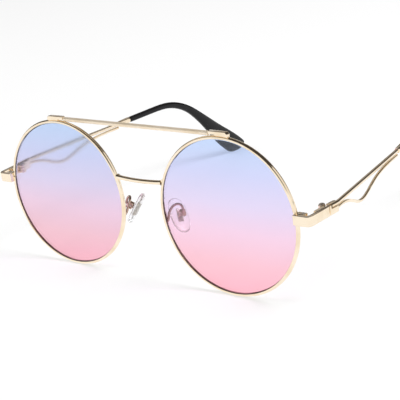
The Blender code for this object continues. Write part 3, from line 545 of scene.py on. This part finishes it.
outline += [Vector((SOLDER_END_X, STRIP_BACK)), Vector((SOLDER_END_X, SOLDER_BACK)),
            Vector((STRIP_LAP_X, SOLDER_BACK))]
strip = flat_part("end_piece_left_bent", outline, STRIP_RISE - STRIP_HALF, STRIP_RISE + STRIP_HALF)
ease_edges(strip, STRIP_EASE)
put(strip, body_place)
fit_pair(strip, "end_piece", "front", gold)

# Closing blocks and their screws
# Two small milled halves behind the end piece, one on each end of the cut rim. The steel screw between them,
# put in from below, draws the rim shut round the lens.
BLOCK_END_X = 0.0698
CLOSING_DEPTH = 0.0018
CLOSING_HEIGHT = 0.0016
CLOSING_EASE = 0.00018
CLOSING_LAP = 0.0008
CLOSING_SINK = 0.0001
RIM_SCREW_X = 0.0685
RIM_SCREW_BORE = 0.0006
RIM_SCREW_SEAT = 0.00175
THROUGH = 0.01
DRILL_SIDES = 24
WIDE_FACE = 5
DOME_HEIGHT = 0.45
DOME_SHARES = ((0, 0), (0.45, 0.12), (0.8, 0.45), (1, 1))
SLOT_SHARES = (3, 0.3)
SLOT_RISE = 1.05
HEAD_EASE = 0.05
SCREW_STEPS = 40


def carve(piece, cutter):
    """Cuts one shape out of another and removes the cutter."""
    choose(piece)
    cutting = piece.modifiers.new("cutting", "BOOLEAN")
    cutting.operation = "DIFFERENCE"
    cutting.solver = "EXACT"
    cutting.object = cutter
    bpy.ops.object.modifier_apply(modifier=cutting.name)
    bpy.data.objects.remove(cutter, do_unlink=True)


def cut_wide_faces(piece):
    """Cuts the wide faces round a bore into triangles, so that the mirrored copy gets the same ones."""
    choose(piece)
    cutting = piece.modifiers.new("wide_faces", "TRIANGULATE")
    cutting.min_vertices = WIDE_FACE
    bpy.ops.object.modifier_apply(modifier=cutting.name)


def drill(piece, centre, radius, turn=(0, 0, 0)):
    """Drills a round hole right through a piece."""
    carve(piece, start_shape(bpy.ops.mesh.primitive_cylinder_add, "drill", vertices=DRILL_SIDES,
                             radius=radius, depth=THROUGH, location=centre, rotation=turn))


for name, low in (("upper", STRIP_RISE + RIM_SPLIT / 2),
                  ("lower", STRIP_RISE - RIM_SPLIT / 2 - CLOSING_HEIGHT)):
    inner = LENS_X + RIM_OUTER - CLOSING_LAP
    outline = [(inner, 0), (BLOCK_END_X, 0), (BLOCK_END_X, CLOSING_DEPTH), (inner, CLOSING_DEPTH)]
    half_block = flat_part("closing_block_" + name + "_left_milled", outline, low, low + CLOSING_HEIGHT)
    drill(half_block, (LENS_X, RIM_DEPTH / 2, 0), RIM_OUTER - CLOSING_SINK, (math.pi / 2, 0, 0))
    drill(half_block, (RIM_SCREW_X, CLOSING_DEPTH / 2, low), RIM_SCREW_BORE)
    ease_edges(half_block, CLOSING_EASE, 2)
    cut_wide_faces(half_block)
    put(half_block, front_place)
    fit_pair(half_block, "closing_block_" + name, "front", gold)


def turned_steel():
    """Turned steel: fine rings round the head and a tone that varies a little."""
    made, shade, sockets = finish("screw_steel", Metallic=1.0)
    rings = shade.grain(2600, 3, (1, 1, 0.2))
    tone = shade.grain(700, 2)
    bright, dull = (0.66, 0.60, 0.52, 1), (0.46, 0.42, 0.38, 1)
    dress(shade, sockets, tone.step(0.35, 0.7).blend(bright, dull), 0.2 + rings * 0.16, rings, 0.12, 0.00004)
    return made


def slotted_screw(name, radius, head_radius, head_height, length):
    """A cheese-head screw with a domed, slotted head: head base at z = 0, shaft downwards."""
    dome = head_height * DOME_HEIGHT
    section = [(head_radius * across, 0, head_height - dome * down) for across, down in DOME_SHARES]
    section += [(head_radius, 0, 0), (radius, 0, 0), (radius, 0, -length), (0, 0, -length)]
    made = spun(name, section, (0, 0, 0), (0, 0, 1), SCREW_STEPS)
    slot = start_shape(bpy.ops.mesh.primitive_cube_add, "slot", size=1)
    slot.scale = (SLOT_SHARES[0] * head_radius, SLOT_SHARES[1] * head_radius, head_height)
    slot.location = (0, 0, head_height * SLOT_RISE)
    carve(made, slot)
    ease_edges(made, head_radius * HEAD_EASE, 2)
    return made


steel = turned_steel()
rim_screw = slotted_screw("rim_screw_left_slotted", radius=0.0005, head_radius=0.0008, head_height=0.0005,
                          length=0.00375)
seat = Matrix.Translation((RIM_SCREW_X, CLOSING_DEPTH / 2, RIM_SCREW_SEAT))
put(rim_screw, front_place @ seat @ Matrix.Rotation(math.pi, 4, "X"))
fit_pair(rim_screw, "rim_screw", "front", steel)

# Hinges
# A three-knuckle hinge inside each corner: the outer knuckles and their leaf are soldered into the end piece,
# the middle knuckle and its leaf into the temple plate, and a slotted steel screw goes through all three.
HINGE_X = 0.070441
HINGE_Y = 0.009611
hinge_axis = Matrix.Translation((HINGE_X, HINGE_Y, STRIP_RISE))
hinge_place = body_place @ hinge_axis @ Matrix.Rotation(-SIDE_SPLAY, 4, "Z")
BARREL_RADIUS = 0.00125
BARREL_CLEAR = 0.0014
LEAF_OUTER = 0.0019
LEAF_INNER = 0.00065
LEAF_END = 0.0054
HINGE_HALF = 0.0016
KNUCKLE_HALF = 0.00055
KNUCKLE_ROOM = 0.0007
HINGE_BORE = 0.0007
HINGE_EASE = 0.00009
KNUCKLE_STEPS = 36
HINGE_SCREW_SEAT = 0.00175
SLOT_TURN = math.radians(35)
CUT_WIDE, CUT_TALL = 0.004, 0.003
sweep = 2 * math.pi - math.acos(LEAF_INNER / BARREL_RADIUS)
turns = [sweep * k / KNUCKLE_STEPS for k in range(KNUCKLE_STEPS + 1)]
leaf_outline = [(LEAF_OUTER, -LEAF_END), (LEAF_OUTER, 0)]
leaf_outline += [(BARREL_RADIUS * math.cos(a), BARREL_RADIUS * math.sin(a)) for a in turns]
leaf_outline.append((LEAF_INNER, -LEAF_END))


def cut_away(piece, low, high):
    """Cuts a box out of a piece, from its low corner to its high one."""
    middle = [(a + b) / 2 for a, b in zip(low, high)]
    room = start_shape(bpy.ops.mesh.primitive_cube_add, "room", size=1, location=middle)
    room.scale = [b - a for a, b in zip(low, high)]
    carve(piece, room)


front_leaf = flat_part("front_hinge_left_knuckles", leaf_outline, -HINGE_HALF, HINGE_HALF)
cut_away(front_leaf, (-CUT_WIDE, -BARREL_CLEAR, -KNUCKLE_ROOM), (CUT_WIDE, CUT_WIDE, KNUCKLE_ROOM))
leaf_outline = [(x, -y) for x, y in leaf_outline]
temple_leaf = flat_part("temple_hinge_left_knuckle", leaf_outline, -HINGE_HALF, HINGE_HALF)
for low, high in ((KNUCKLE_HALF, CUT_TALL), (-CUT_TALL, -KNUCKLE_HALF)):
    cut_away(temple_leaf, (-CUT_WIDE, -CUT_WIDE, low), (CUT_WIDE, BARREL_CLEAR, high))
for leaf, node, body in ((front_leaf, "front_hinge", "front"), (temple_leaf, "temple_hinge", "temple")):
    drill(leaf, (0, 0, 0), HINGE_BORE)
    ease_edges(leaf, HINGE_EASE, 2)
    put(leaf, hinge_place)
    fit_pair(leaf, node, body, gold)
hinge_screw = slotted_screw("hinge_screw_left_slotted", radius=0.0006, head_radius=0.0010, head_height=0.0005,
                            length=0.00335)
seat = Matrix.Translation((0, 0, HINGE_SCREW_SEAT))
put(hinge_screw, hinge_place @ seat @ Matrix.Rotation(SLOT_TURN, 4, "Z"))
fit_pair(hinge_screw, "hinge_screw", "front", steel)

# Temple plates
# The short flat plate behind the seam. The hinge leaf is soldered inside it, the upper wire lies in the
# step along its top, and the lower wire starts at its rear end.
PLATE_LOW_Y, PLATE_HIGH_Y = 0.00015, 0.00485
STEP_Y, STEP_Z = 0.00105, 0.0004
PLATE_X = 0.00185
PLATE_SINK = 0.0002
outline = [(PLATE_LOW_Y, -STRIP_HALF), (PLATE_HIGH_Y, -STRIP_HALF), (PLATE_HIGH_Y, STEP_Z), (STEP_Y, STEP_Z),
           (STEP_Y, STRIP_HALF), (PLATE_LOW_Y, STRIP_HALF)]
plate = flat_part("temple_plate_left_stamped", outline, PLATE_X - PLATE_SINK, PLATE_X + STRIP_THICKNESS)
ease_edges(plate, STRIP_EASE)
upright = Matrix(((0, 0, 1, 0), (1, 0, 0, 0), (0, 1, 0, 0), (0, 0, 0, 1)))
put(plate, hinge_place @ upright)
fit_pair(plate, "temple_plate", "temple", gold)

# Temple wires
# The upper wire runs straight from the plate to the ear tip and goes on inside it, thinner, as its core. The
# lower wire dips in one wave and comes back up beside it.
WIRES_TURN = math.radians(11.25)
WIRES_START = Matrix.Translation((0.00255, 0.00515, 0.0012))
wires_place = hinge_place @ WIRES_START @ Matrix.Rotation(WIRES_TURN, 4, "Z")
BAR_RADIUS = 0.00075
BAR_LEAD = 0.0038
BAR_BEND = 0.0007
CORE_RADIUS = 0.00045
SHOULDER_LEAD = 0.0003
SHOULDER_SPAN = (-0.0002, 0, 0.00015)
BEND_STEPS = 12
COLLAR_START = 0.0518
COLLAR_LENGTH = 0.0066
TIP_START = 0.0587
BEND_START = 0.0770
BEND_RADIUS = 0.0315
BEND_ANGLE = math.radians(46.5)
BEND_LENGTH = BEND_RADIUS * BEND_ANGLE
TAIL_RADIUS = 0.140
CORE_END = 0.116913
WAVE_RADIUS = 0.0006
WAVE_LEVEL = -0.00165
WAVE_DEPTH = 0.0046
WAVE_LENGTH = 0.0515
WAVE_SHARES = (
    (-0.012, 0.0), (0.0, 0.0), (0.075, 0.01), (0.155, 0.20), (0.235, 0.56), (0.305, 0.90), (0.38, 1.0),
    (0.46, 0.81), (0.54, 0.51), (0.62, 0.26), (0.72, 0.09), (0.85, 0.01), (1.0, 0.0),
)


def temple_path(distance):
    """Place and slope of the temple's centre line: level, an arc over the ear, a tail that eases back."""
    bend = distance - BEND_START
    if bend <= 0:
        return distance, 0, 0
    angle = min(bend / BEND_RADIUS, BEND_ANGLE)
    slope = angle - max(bend - BEND_LENGTH, 0) / TAIL_RADIUS
    y = BEND_RADIUS * math.sin(angle) + TAIL_RADIUS * (math.sin(angle) - math.sin(slope))
    z = BEND_RADIUS * (1 - math.cos(angle)) + TAIL_RADIUS * (math.cos(slope) - math.cos(angle))
    return BEND_START + y, -z, slope


stops = [0, BAR_BEND] + [COLLAR_START - SHOULDER_LEAD + shift for shift in SHOULDER_SPAN] + [TIP_START]
stops += [BEND_START + BEND_LENGTH * k / BEND_STEPS for k in range(BEND_STEPS + 1)] + [CORE_END]
points = [(-BAR_LEAD * math.sin(WIRES_TURN), -BAR_LEAD * math.cos(WIRES_TURN), 0)]
points += [(0, *temple_path(stop)[:2]) for stop in stops]
swell = [1, 1, 1, 1, 1] + [CORE_RADIUS / BAR_RADIUS] * (len(stops) - 4)
temple_bar = bent_wire("temple_bar_left_drawn", points, BAR_RADIUS, swell, 3, "VECTOR")
put(temple_bar, wires_place)
fit_pair(temple_bar, "temple_bar", "temple", gold)
points = [(0, WAVE_LENGTH * share, WAVE_LEVEL - WAVE_DEPTH * down) for share, down in WAVE_SHARES]
wave = bent_wire("wave_wire_left_bent", points, WAVE_RADIUS)
put(wave, wires_place)
fit_pair(wave, "wave_wire", "temple", gold)

# Collars and ear tips
# A plated sleeve closes the two wires into the ear tip. The tip is a slip-on form in polished black plastic,
# slim as far as the ear, then bent down and deepened to a flat paddle with a straight base that it rests on.
TIP_HALF_WIDTH = 0.0012
TIP_HALF_HEIGHT = 0.00125
PADDLE_HALF_WIDTH = 0.0015
PADDLE_TOP = 0.00375
PADDLE_BELLY = 0.0063
PADDLE_GROWTH = (
    (0.0, 0.04, 0.0, 0.80), (0.07, 0.08, 0.0, 0.81), (0.14, 0.15, 0.0, 0.82), (0.21, 0.20, 0.01, 0.83),
    (0.28, 0.27, 0.01, 0.85), (0.35, 0.38, 0.02, 0.87), (0.42, 0.55, 0.03, 0.90), (0.49, 0.74, 0.06, 0.94),
    (0.54, 0.84, 0.12, 0.98), (0.59, 0.91, 0.22, 1.0), (0.64, 0.945, 0.36, 1.0), (0.69, 0.97, 0.52, 1.0),
    (0.745, 0.99, 0.67, 1.0), (0.80, 1.0, 0.80, 1.0), (0.86, 0.97, 0.92, 1.0), (0.907, 0.89, 1.0, 0.98),
    (0.93, 0.835, 0.975, 0.97), (0.95, 0.78, 0.905, 0.95), (0.973, 0.70, 0.77, 0.91),
    (1.0, 0.58, 0.575, 0.85), (1.023, 0.47, 0.38, 0.76), (1.042, 0.34, 0.15, 0.66),
    (1.056, 0.20, -0.08, 0.52), (1.063, 0.10, -0.2, 0.32),
)
COLLAR_SHAPE = (
    (0.0, 0.60), (0.004, 0.74), (0.05, 0.80), (0.12, 0.86), (0.5, 0.95), (0.85, 1.0), (0.95, 1.0),
    (0.985, 0.97), (1.0, 0.88),
)
TIP_NOSE = 0.0003
TIP_NOSE_SHAPE = ((0, 1), (0.4, 0.3), (1, 0))
TIP_SLEEVE = 0.009
TIP_SIDES = 28
TIP_ROUNDNESS = 0.8
TAIL_LENGTH = 0.035871


def bowed(value, power):
    return math.copysign(abs(value) ** power, value)


def lofted(name, roundness, sides, levels):
    """Draws a rounded outline in X and Z, then extrudes and resizes it along Y through its levels.

    Each level is a place on Y, a half width, a half height and the height of its middle.
    """
    piece = start_shape(bpy.ops.mesh.primitive_circle_add, name, vertices=sides, radius=1, fill_type="NGON")
    y, width, height, middle = levels[0]
    for k, vertex in enumerate(piece.data.vertices):
        angle = 2 * math.pi * k / sides
        lift = middle + height * bowed(math.sin(angle), roundness)
        vertex.co = (width * bowed(math.cos(angle), roundness), y, lift)
    bpy.ops.object.mode_set(mode="EDIT")
    bpy.ops.mesh.select_all(action="SELECT")
    for level in levels[1:]:
        shift = (0, level[0] - y, level[3] - middle)
        growth = (level[1] / width, 1, level[2] / height)
        y, width, height, middle = level
        bpy.ops.mesh.extrude_region_move(TRANSFORM_OT_translate={"value": shift})
        bpy.ops.transform.resize(value=growth, center_override=(0, y, middle))
    bpy.ops.object.mode_set(mode="OBJECT")
    tidy_mesh(piece)
    return piece


def smoothed(piece, levels):
    """Rounds a form with a subdivision surface."""
    choose(piece)
    rounding = piece.modifiers.new("rounding", "SUBSURF")
    rounding.levels = rounding.render_levels = levels
    bpy.ops.object.modifier_apply(modifier=rounding.name)
    bpy.ops.object.shade_smooth_by_angle(angle=SMOOTH_ANGLE)


def polished_black():
    """Polished black plastic: soft sheen with faint tumbling marks and a trace of handling haze."""
    made, shade, sockets = finish("black_tip", IOR=1.46, Specular_IOR_Level=0.3)
    haze = shade.grain(160, 3)
    marks = shade.grain(1400, 4, (1, 0.3, 1))
    colour = haze.step(0.4, 0.8).blend((0.003, 0.003, 0.004, 1), (0.007, 0.007, 0.008, 1))
    dress(shade, sockets, colour, 0.12 + haze * 0.10 + marks.step(0.5, 0.8) * 0.08, marks, 0.05, 0.00005)
    return made


levels = [(COLLAR_START + COLLAR_LENGTH * share, TIP_HALF_WIDTH * size, TIP_HALF_HEIGHT * size, 0)
          for share, size in COLLAR_SHAPE]
collar = lofted("tip_collar_left_sleeve", TIP_ROUNDNESS, TIP_SIDES, levels)
choose(collar)
bpy.ops.object.shade_smooth_by_angle(angle=SMOOTH_ANGLE)
put(collar, wires_place)
fit_pair(collar, "tip_collar", "temple", gold)

levels = []
for share, inset in TIP_NOSE_SHAPE:
    inset *= TIP_NOSE
    levels.append((TIP_START + TIP_NOSE * share, TIP_HALF_WIDTH - inset, TIP_HALF_HEIGHT - inset, 0))
levels.append((TIP_START + TIP_SLEEVE, TIP_HALF_WIDTH, TIP_HALF_HEIGHT, 0))
for share, rise, fall, width in PADDLE_GROWTH:
    y = BEND_START + (BEND_LENGTH + TAIL_LENGTH) * share
    top = TIP_HALF_HEIGHT + (PADDLE_TOP - TIP_HALF_HEIGHT) * rise
    belly = TIP_HALF_HEIGHT + (PADDLE_BELLY - TIP_HALF_HEIGHT) * fall
    levels.append((y, PADDLE_HALF_WIDTH * width, (top + belly) / 2, (top - belly) / 2))
tip = lofted("temple_tip_left_moulded", TIP_ROUNDNESS, TIP_SIDES, levels)
for vertex in tip.data.vertices:
    y, z, slope = temple_path(vertex.co.y)
    lift = vertex.co.z
    vertex.co = (vertex.co.x, y + lift * math.sin(slope), z + lift * math.cos(slope))
smoothed(tip, 1)
put(tip, wires_place)
fit_pair(tip, "temple_tip", "temple", polished_black())

# Pad arms
# A thin gold wire is soldered to the back of each rim, loops up and over, and comes down behind the pad's
# box. Its gold is rougher than the rims', and its colour is painted darker and browner as shade.
PAD_AXIS = Vector((0.46492, 0.87630, -0.12627))
PAD_FACE = Vector((-0.77835, 0.33658, -0.52998))
PAD_UP = Vector((-0.42192, 0.34468, 0.83856))
PAD_PIVOT = Vector((0.012229, -0.064442, 0.02473))
pad_place = Matrix.Translation(PAD_PIVOT) @ Matrix((PAD_AXIS, PAD_FACE, PAD_UP)).transposed().to_4x4()
ARM_RADIUS = 0.00045
ARM_RISE = 0.0048
ARM_FOOT = Vector((0.010209, 0.00205, -0.0052))
ARM_SINK = 0.0006
ARM_SHARES = ((-0.06, 0.36, 0.56), (0.18, 0.84, 0.97), (0.64, 1.06, 0.96), (0.98, 1.05, 0.66))
ARM_SWELL = (1.5, 1.15, 1, 1, 1, 1, 1, 1.3)
ARM_END_GAP = 0.0003
ARM_END_SINK = 0.0002
BOX_BACK = -0.0015
pad_in_front = front_place.inverted() @ pad_place
arm_end, arm_tail = [pad_in_front @ Vector((0, BOX_BACK + shift, 0))
                     for shift in (-ARM_END_GAP, ARM_END_SINK)]
span = arm_end - ARM_FOOT
points = [ARM_FOOT - Vector((0, ARM_SINK, 0)), ARM_FOOT]
for across, back, up in ARM_SHARES:
    points.append(ARM_FOOT + Vector((span.x * across, span.y * back, ARM_RISE * up)))
points += [arm_end, arm_tail]
# A rougher copy of the gold, painted darker and browner as shade, for the pad arms and boxes.
painted_shade_gold = gold_plating("painted_shade_gold", 0.16, (0.62, 0.46, 0.38, 1), (0.46, 0.32, 0.26, 1))
arm = bent_wire("pad_arm_left_looped", points, ARM_RADIUS, ARM_SWELL)
put(arm, front_place)
fit_pair(arm, "pad_arm", "front", painted_shade_gold)

# Pad boxes and their screws
# A folded channel on the end of each arm, open towards the pad, with a slotted steel screw across it.
BOX_HALF = 0.0012
BOX_INSIDE = 0.0008
BOX_FRONT = 0.0008
BOX_FLOOR = -0.0011
BOX_EASE = 0.00012
PAD_SCREW_BORE = 0.0005
PAD_SCREW_SEAT = 0.00135
outline = [(BOX_HALF, BOX_BACK), (BOX_HALF, BOX_FRONT), (BOX_INSIDE, BOX_FRONT), (BOX_INSIDE, BOX_FLOOR)]
outline = [(-BOX_HALF, BOX_BACK)] + outline + [(-x, y) for x, y in reversed(outline[1:])]
pad_box = flat_part("pad_box_left_folded", outline, -BOX_HALF, BOX_HALF)
drill(pad_box, (0, 0, 0), PAD_SCREW_BORE, (0, math.pi / 2, 0))
ease_edges(pad_box, BOX_EASE, 2)
put(pad_box, pad_place)
fit_pair(pad_box, "pad_box", "front", painted_shade_gold)
pad_screw = slotted_screw("pad_screw_left_slotted", radius=0.0004, head_radius=0.0007, head_height=0.0004,
                          length=0.00255)
put(pad_screw, pad_place @ Matrix.Translation((PAD_SCREW_SEAT, 0, 0)) @ Matrix.Rotation(math.pi / 2, 4, "Y"))
fit_pair(pad_screw, "pad_screw", "front", steel)

# Nose pads
# Soft clear silicone moulded round a stamped metal stub. The pad is a leaning oval, thickest at its middle,
# and the stub's tab hangs on the screw in the box.
PAD_MIDDLE = 0.00235
PAD_THICKNESS = 0.0022
PAD_WIDTH = 0.0070
PAD_LENGTH = 0.0132
PAD_LEAN = 0.12
PAD_ROUNDNESS = 2 / 2.4
PAD_SIDES = 36
PAD_LAYERS = (
    (-1.0, 0.30), (-1.0, 0.62), (-0.93, 0.74), (-0.75, 0.87), (-0.45, 0.96), (-0.1, 1.0),
    (0.2, 0.99), (0.5, 0.92), (0.8, 0.77), (0.95, 0.58), (1.0, 0.40), (1.02, 0.18),
)
PAD_FLAT = 0.6
FOOT_BACK, FOOT_FRONT = 0.00155, 0.00215
FOOT_HALF, FOOT_RISE = 0.0010, 0.0025
TAB_HALF, TAB_RISE = 0.0004, 0.00065
TAB_END = -0.0008
CORE_EASE = 0.0001


def clear_silicone():
    """Clear soft silicone with a satin skin, slightly clouded inside."""
    made, shade, sockets = finish("clear_pad", IOR=1.41, Transmission_Weight=1.0)
    cloud = shade.grain(420, 3)
    colour = cloud.step(0.3, 0.8).blend((0.97, 0.98, 0.98, 1), (0.93, 0.94, 0.94, 1))
    dress(shade, sockets, colour, 0.16 + cloud * 0.10, cloud, 0.05, 0.0001)
    let_lamps_through(made, shade, (0.9, 0.9, 0.9, 1))
    return made


def stamped_metal():
    """Plain stamped stub, satin from the press."""
    made, shade, sockets = finish("pad_core_metal", Metallic=1.0)
    press = shade.grain(1800, 3, (1, 1, 0.3))
    colour = press.step(0.3, 0.7).blend((0.58, 0.53, 0.47, 1), (0.44, 0.41, 0.38, 1))
    dress(shade, sockets, colour, 0.26 + press * 0.18, press, 0.1, 0.00003)
    return made


levels = []
for depth, size in PAD_LAYERS:
    inset = (1 - max(size, PAD_FLAT)) * PAD_WIDTH
    height = (PAD_LENGTH - inset) / 2 * min(size / PAD_FLAT, 1)
    levels.append((PAD_MIDDLE + PAD_THICKNESS / 2 * depth, PAD_WIDTH / 2 * size, height, 0))
pad = lofted("nose_pad_left_moulded", PAD_ROUNDNESS, PAD_SIDES, levels)
for vertex in pad.data.vertices:
    vertex.co.x -= vertex.co.z * PAD_LEAN
smoothed(pad, 1)
put(pad, pad_place)
fit_pair(pad, "nose_pad", "pad", clear_silicone())

outline = [(-FOOT_HALF, FOOT_FRONT), (-FOOT_HALF, FOOT_BACK), (-TAB_HALF, FOOT_BACK), (-TAB_HALF, TAB_END)]
outline += [(-x, y) for x, y in reversed(outline)]
core = flat_part("pad_core_left_stamped", outline, -FOOT_RISE, FOOT_RISE)
for low, high in ((TAB_RISE, CUT_TALL), (-CUT_TALL, -TAB_RISE)):
    cut_away(core, (-CUT_WIDE, -CUT_TALL, low), (CUT_WIDE, FOOT_BACK, high))
drill(core, (0, 0, 0), PAD_SCREW_BORE, (0, math.pi / 2, 0))
ease_edges(core, CORE_EASE, 2)
cut_wide_faces(core)
put(core, pad_place)
fit_pair(core, "pad_core", "pad", stamped_metal())

# Table and light
# A pale table that keeps the soft shadow where the rims and the tips rest. The room is white, but in
# reflections it is dark higher up, as the upper sides of the wires and rims show.
WHITE = (1, 1, 1, 1)
TABLE_TONE = (0.93, 0.93, 0.93, 1)
TABLE_SIZE = 6
CAMERA_GLOW, THROUGH_GLOW = 0.5, 0.5
ROOM_DARK = (0.055, 0.047, 0.04, 1)
FRONT_FALL, SIDE_RISE = 0.22, 0.2
THROUGH_SHARE, DIFFUSE_SHARE = 0.6, 0.52
table = start_shape(bpy.ops.mesh.primitive_plane_add, "table_top", size=TABLE_SIZE)
made, shade, sockets = finish("table_white", Roughness=0.9, Base_Color=TABLE_TONE, Specular_IOR_Level=0.0)
glow = shade.node("ShaderNodeEmission", {}, {"Color": WHITE, "Strength": 1.0})
rays = {name: shade.node("ShaderNodeLightPath", output=name)
        for name in ("Is Camera Ray", "Is Glossy Ray", "Is Transmission Ray")}
seen = rays["Is Camera Ray"] * CAMERA_GLOW
seen = seen + rays["Is Glossy Ray"] * (1 - rays["Is Transmission Ray"] * THROUGH_GLOW)
mix_surface(made, shade, seen, glow)
table.data.materials.append(made)

world = bpy.data.worlds.new("pale_room")
bpy.context.scene.world = world
world.use_nodes = True
shade = Shade(world.node_tree)
direction = shade.node("ShaderNodeTexCoord", output="Generated")
side, depth, rise = [shade.node("ShaderNodeSeparateXYZ", {}, {"Vector": direction}, axis) for axis in "XYZ"]
edge = rise - depth.step(0.1, -0.4) * FRONT_FALL + side.step(-0.7, -0.95) * SIDE_RISE
mirrored = edge.step(0.03, 0.22).blend(WHITE, ROOM_DARK)
glossy = shade.node("ShaderNodeLightPath", output="Is Glossy Ray")
through = shade.node("ShaderNodeLightPath", output="Is Transmission Ray")
diffuse = shade.node("ShaderNodeLightPath", output="Is Diffuse Ray")
colour = (glossy * (1 - through * THROUGH_SHARE)).blend(WHITE, mirrored)
backdrop = world.node_tree.nodes["Background"].inputs
shade.feed(backdrop["Color"], colour)
shade.feed(backdrop["Strength"], 1 - diffuse * DIFFUSE_SHARE)


def soft_box(name, place, size, power):
    """A square studio lamp turned towards the glasses."""
    bpy.ops.object.select_all(action="DESELECT")
    bpy.ops.object.light_add(type="AREA", location=place)
    lamp = bpy.context.active_object
    lamp.name = lamp.data.name = name
    lamp.data.size = size
    lamp.data.energy = power
    lamp.visible_glossy = False
    lamp.rotation_euler = (LAMP_TARGET - Vector(place)).to_track_quat("-Z", "Y").to_euler()


def card(name, corners, colour):
    """A plain card behind the set that only reflections show."""
    piece = start_shape(bpy.ops.mesh.primitive_circle_add, name, vertices=len(corners), fill_type="NGON")
    for vertex, spot in zip(piece.data.vertices, corners):
        vertex.co = spot
    made = finish(name, Roughness=0.9, Emission_Strength=1.0, Base_Color=(0, 0, 0, 1), Emission_Color=colour,
                  Specular_IOR_Level=0.0)[0]
    piece.data.materials.append(made)
    for ray in ("camera", "diffuse", "transmission", "volume_scatter", "shadow"):
        setattr(piece, "visible_" + ray, False)


GREY_CARD_Y = 0.20
GREY_CARD = ((-0.60, 0.165), (0.075, 0.15), (-0.02, 0.30), (-0.30, 0.55), (-0.60, 0.55))
WHITE_CARD_X = 1.6
WHITE_CARD = ((1.5, 0.3), (-0.8, 0.3), (-0.8, 2.2), (1.5, 2.2))
LAMP_TARGET = Vector((0, 0, 0.02))
card("grey_card", [(x, GREY_CARD_Y, z) for x, z in GREY_CARD], (0.42, 0.40, 0.38, 1))
card("white_card", [(WHITE_CARD_X, y, z) for y, z in WHITE_CARD], (0.9, 0.87, 0.82, 1))
soft_box("key_soft_box", (1.00, 0.40, 1.50), size=0.9, power=21.6)
soft_box("fill_soft_box", (-0.90, -1.10, 1.50), size=1.0, power=10.4)
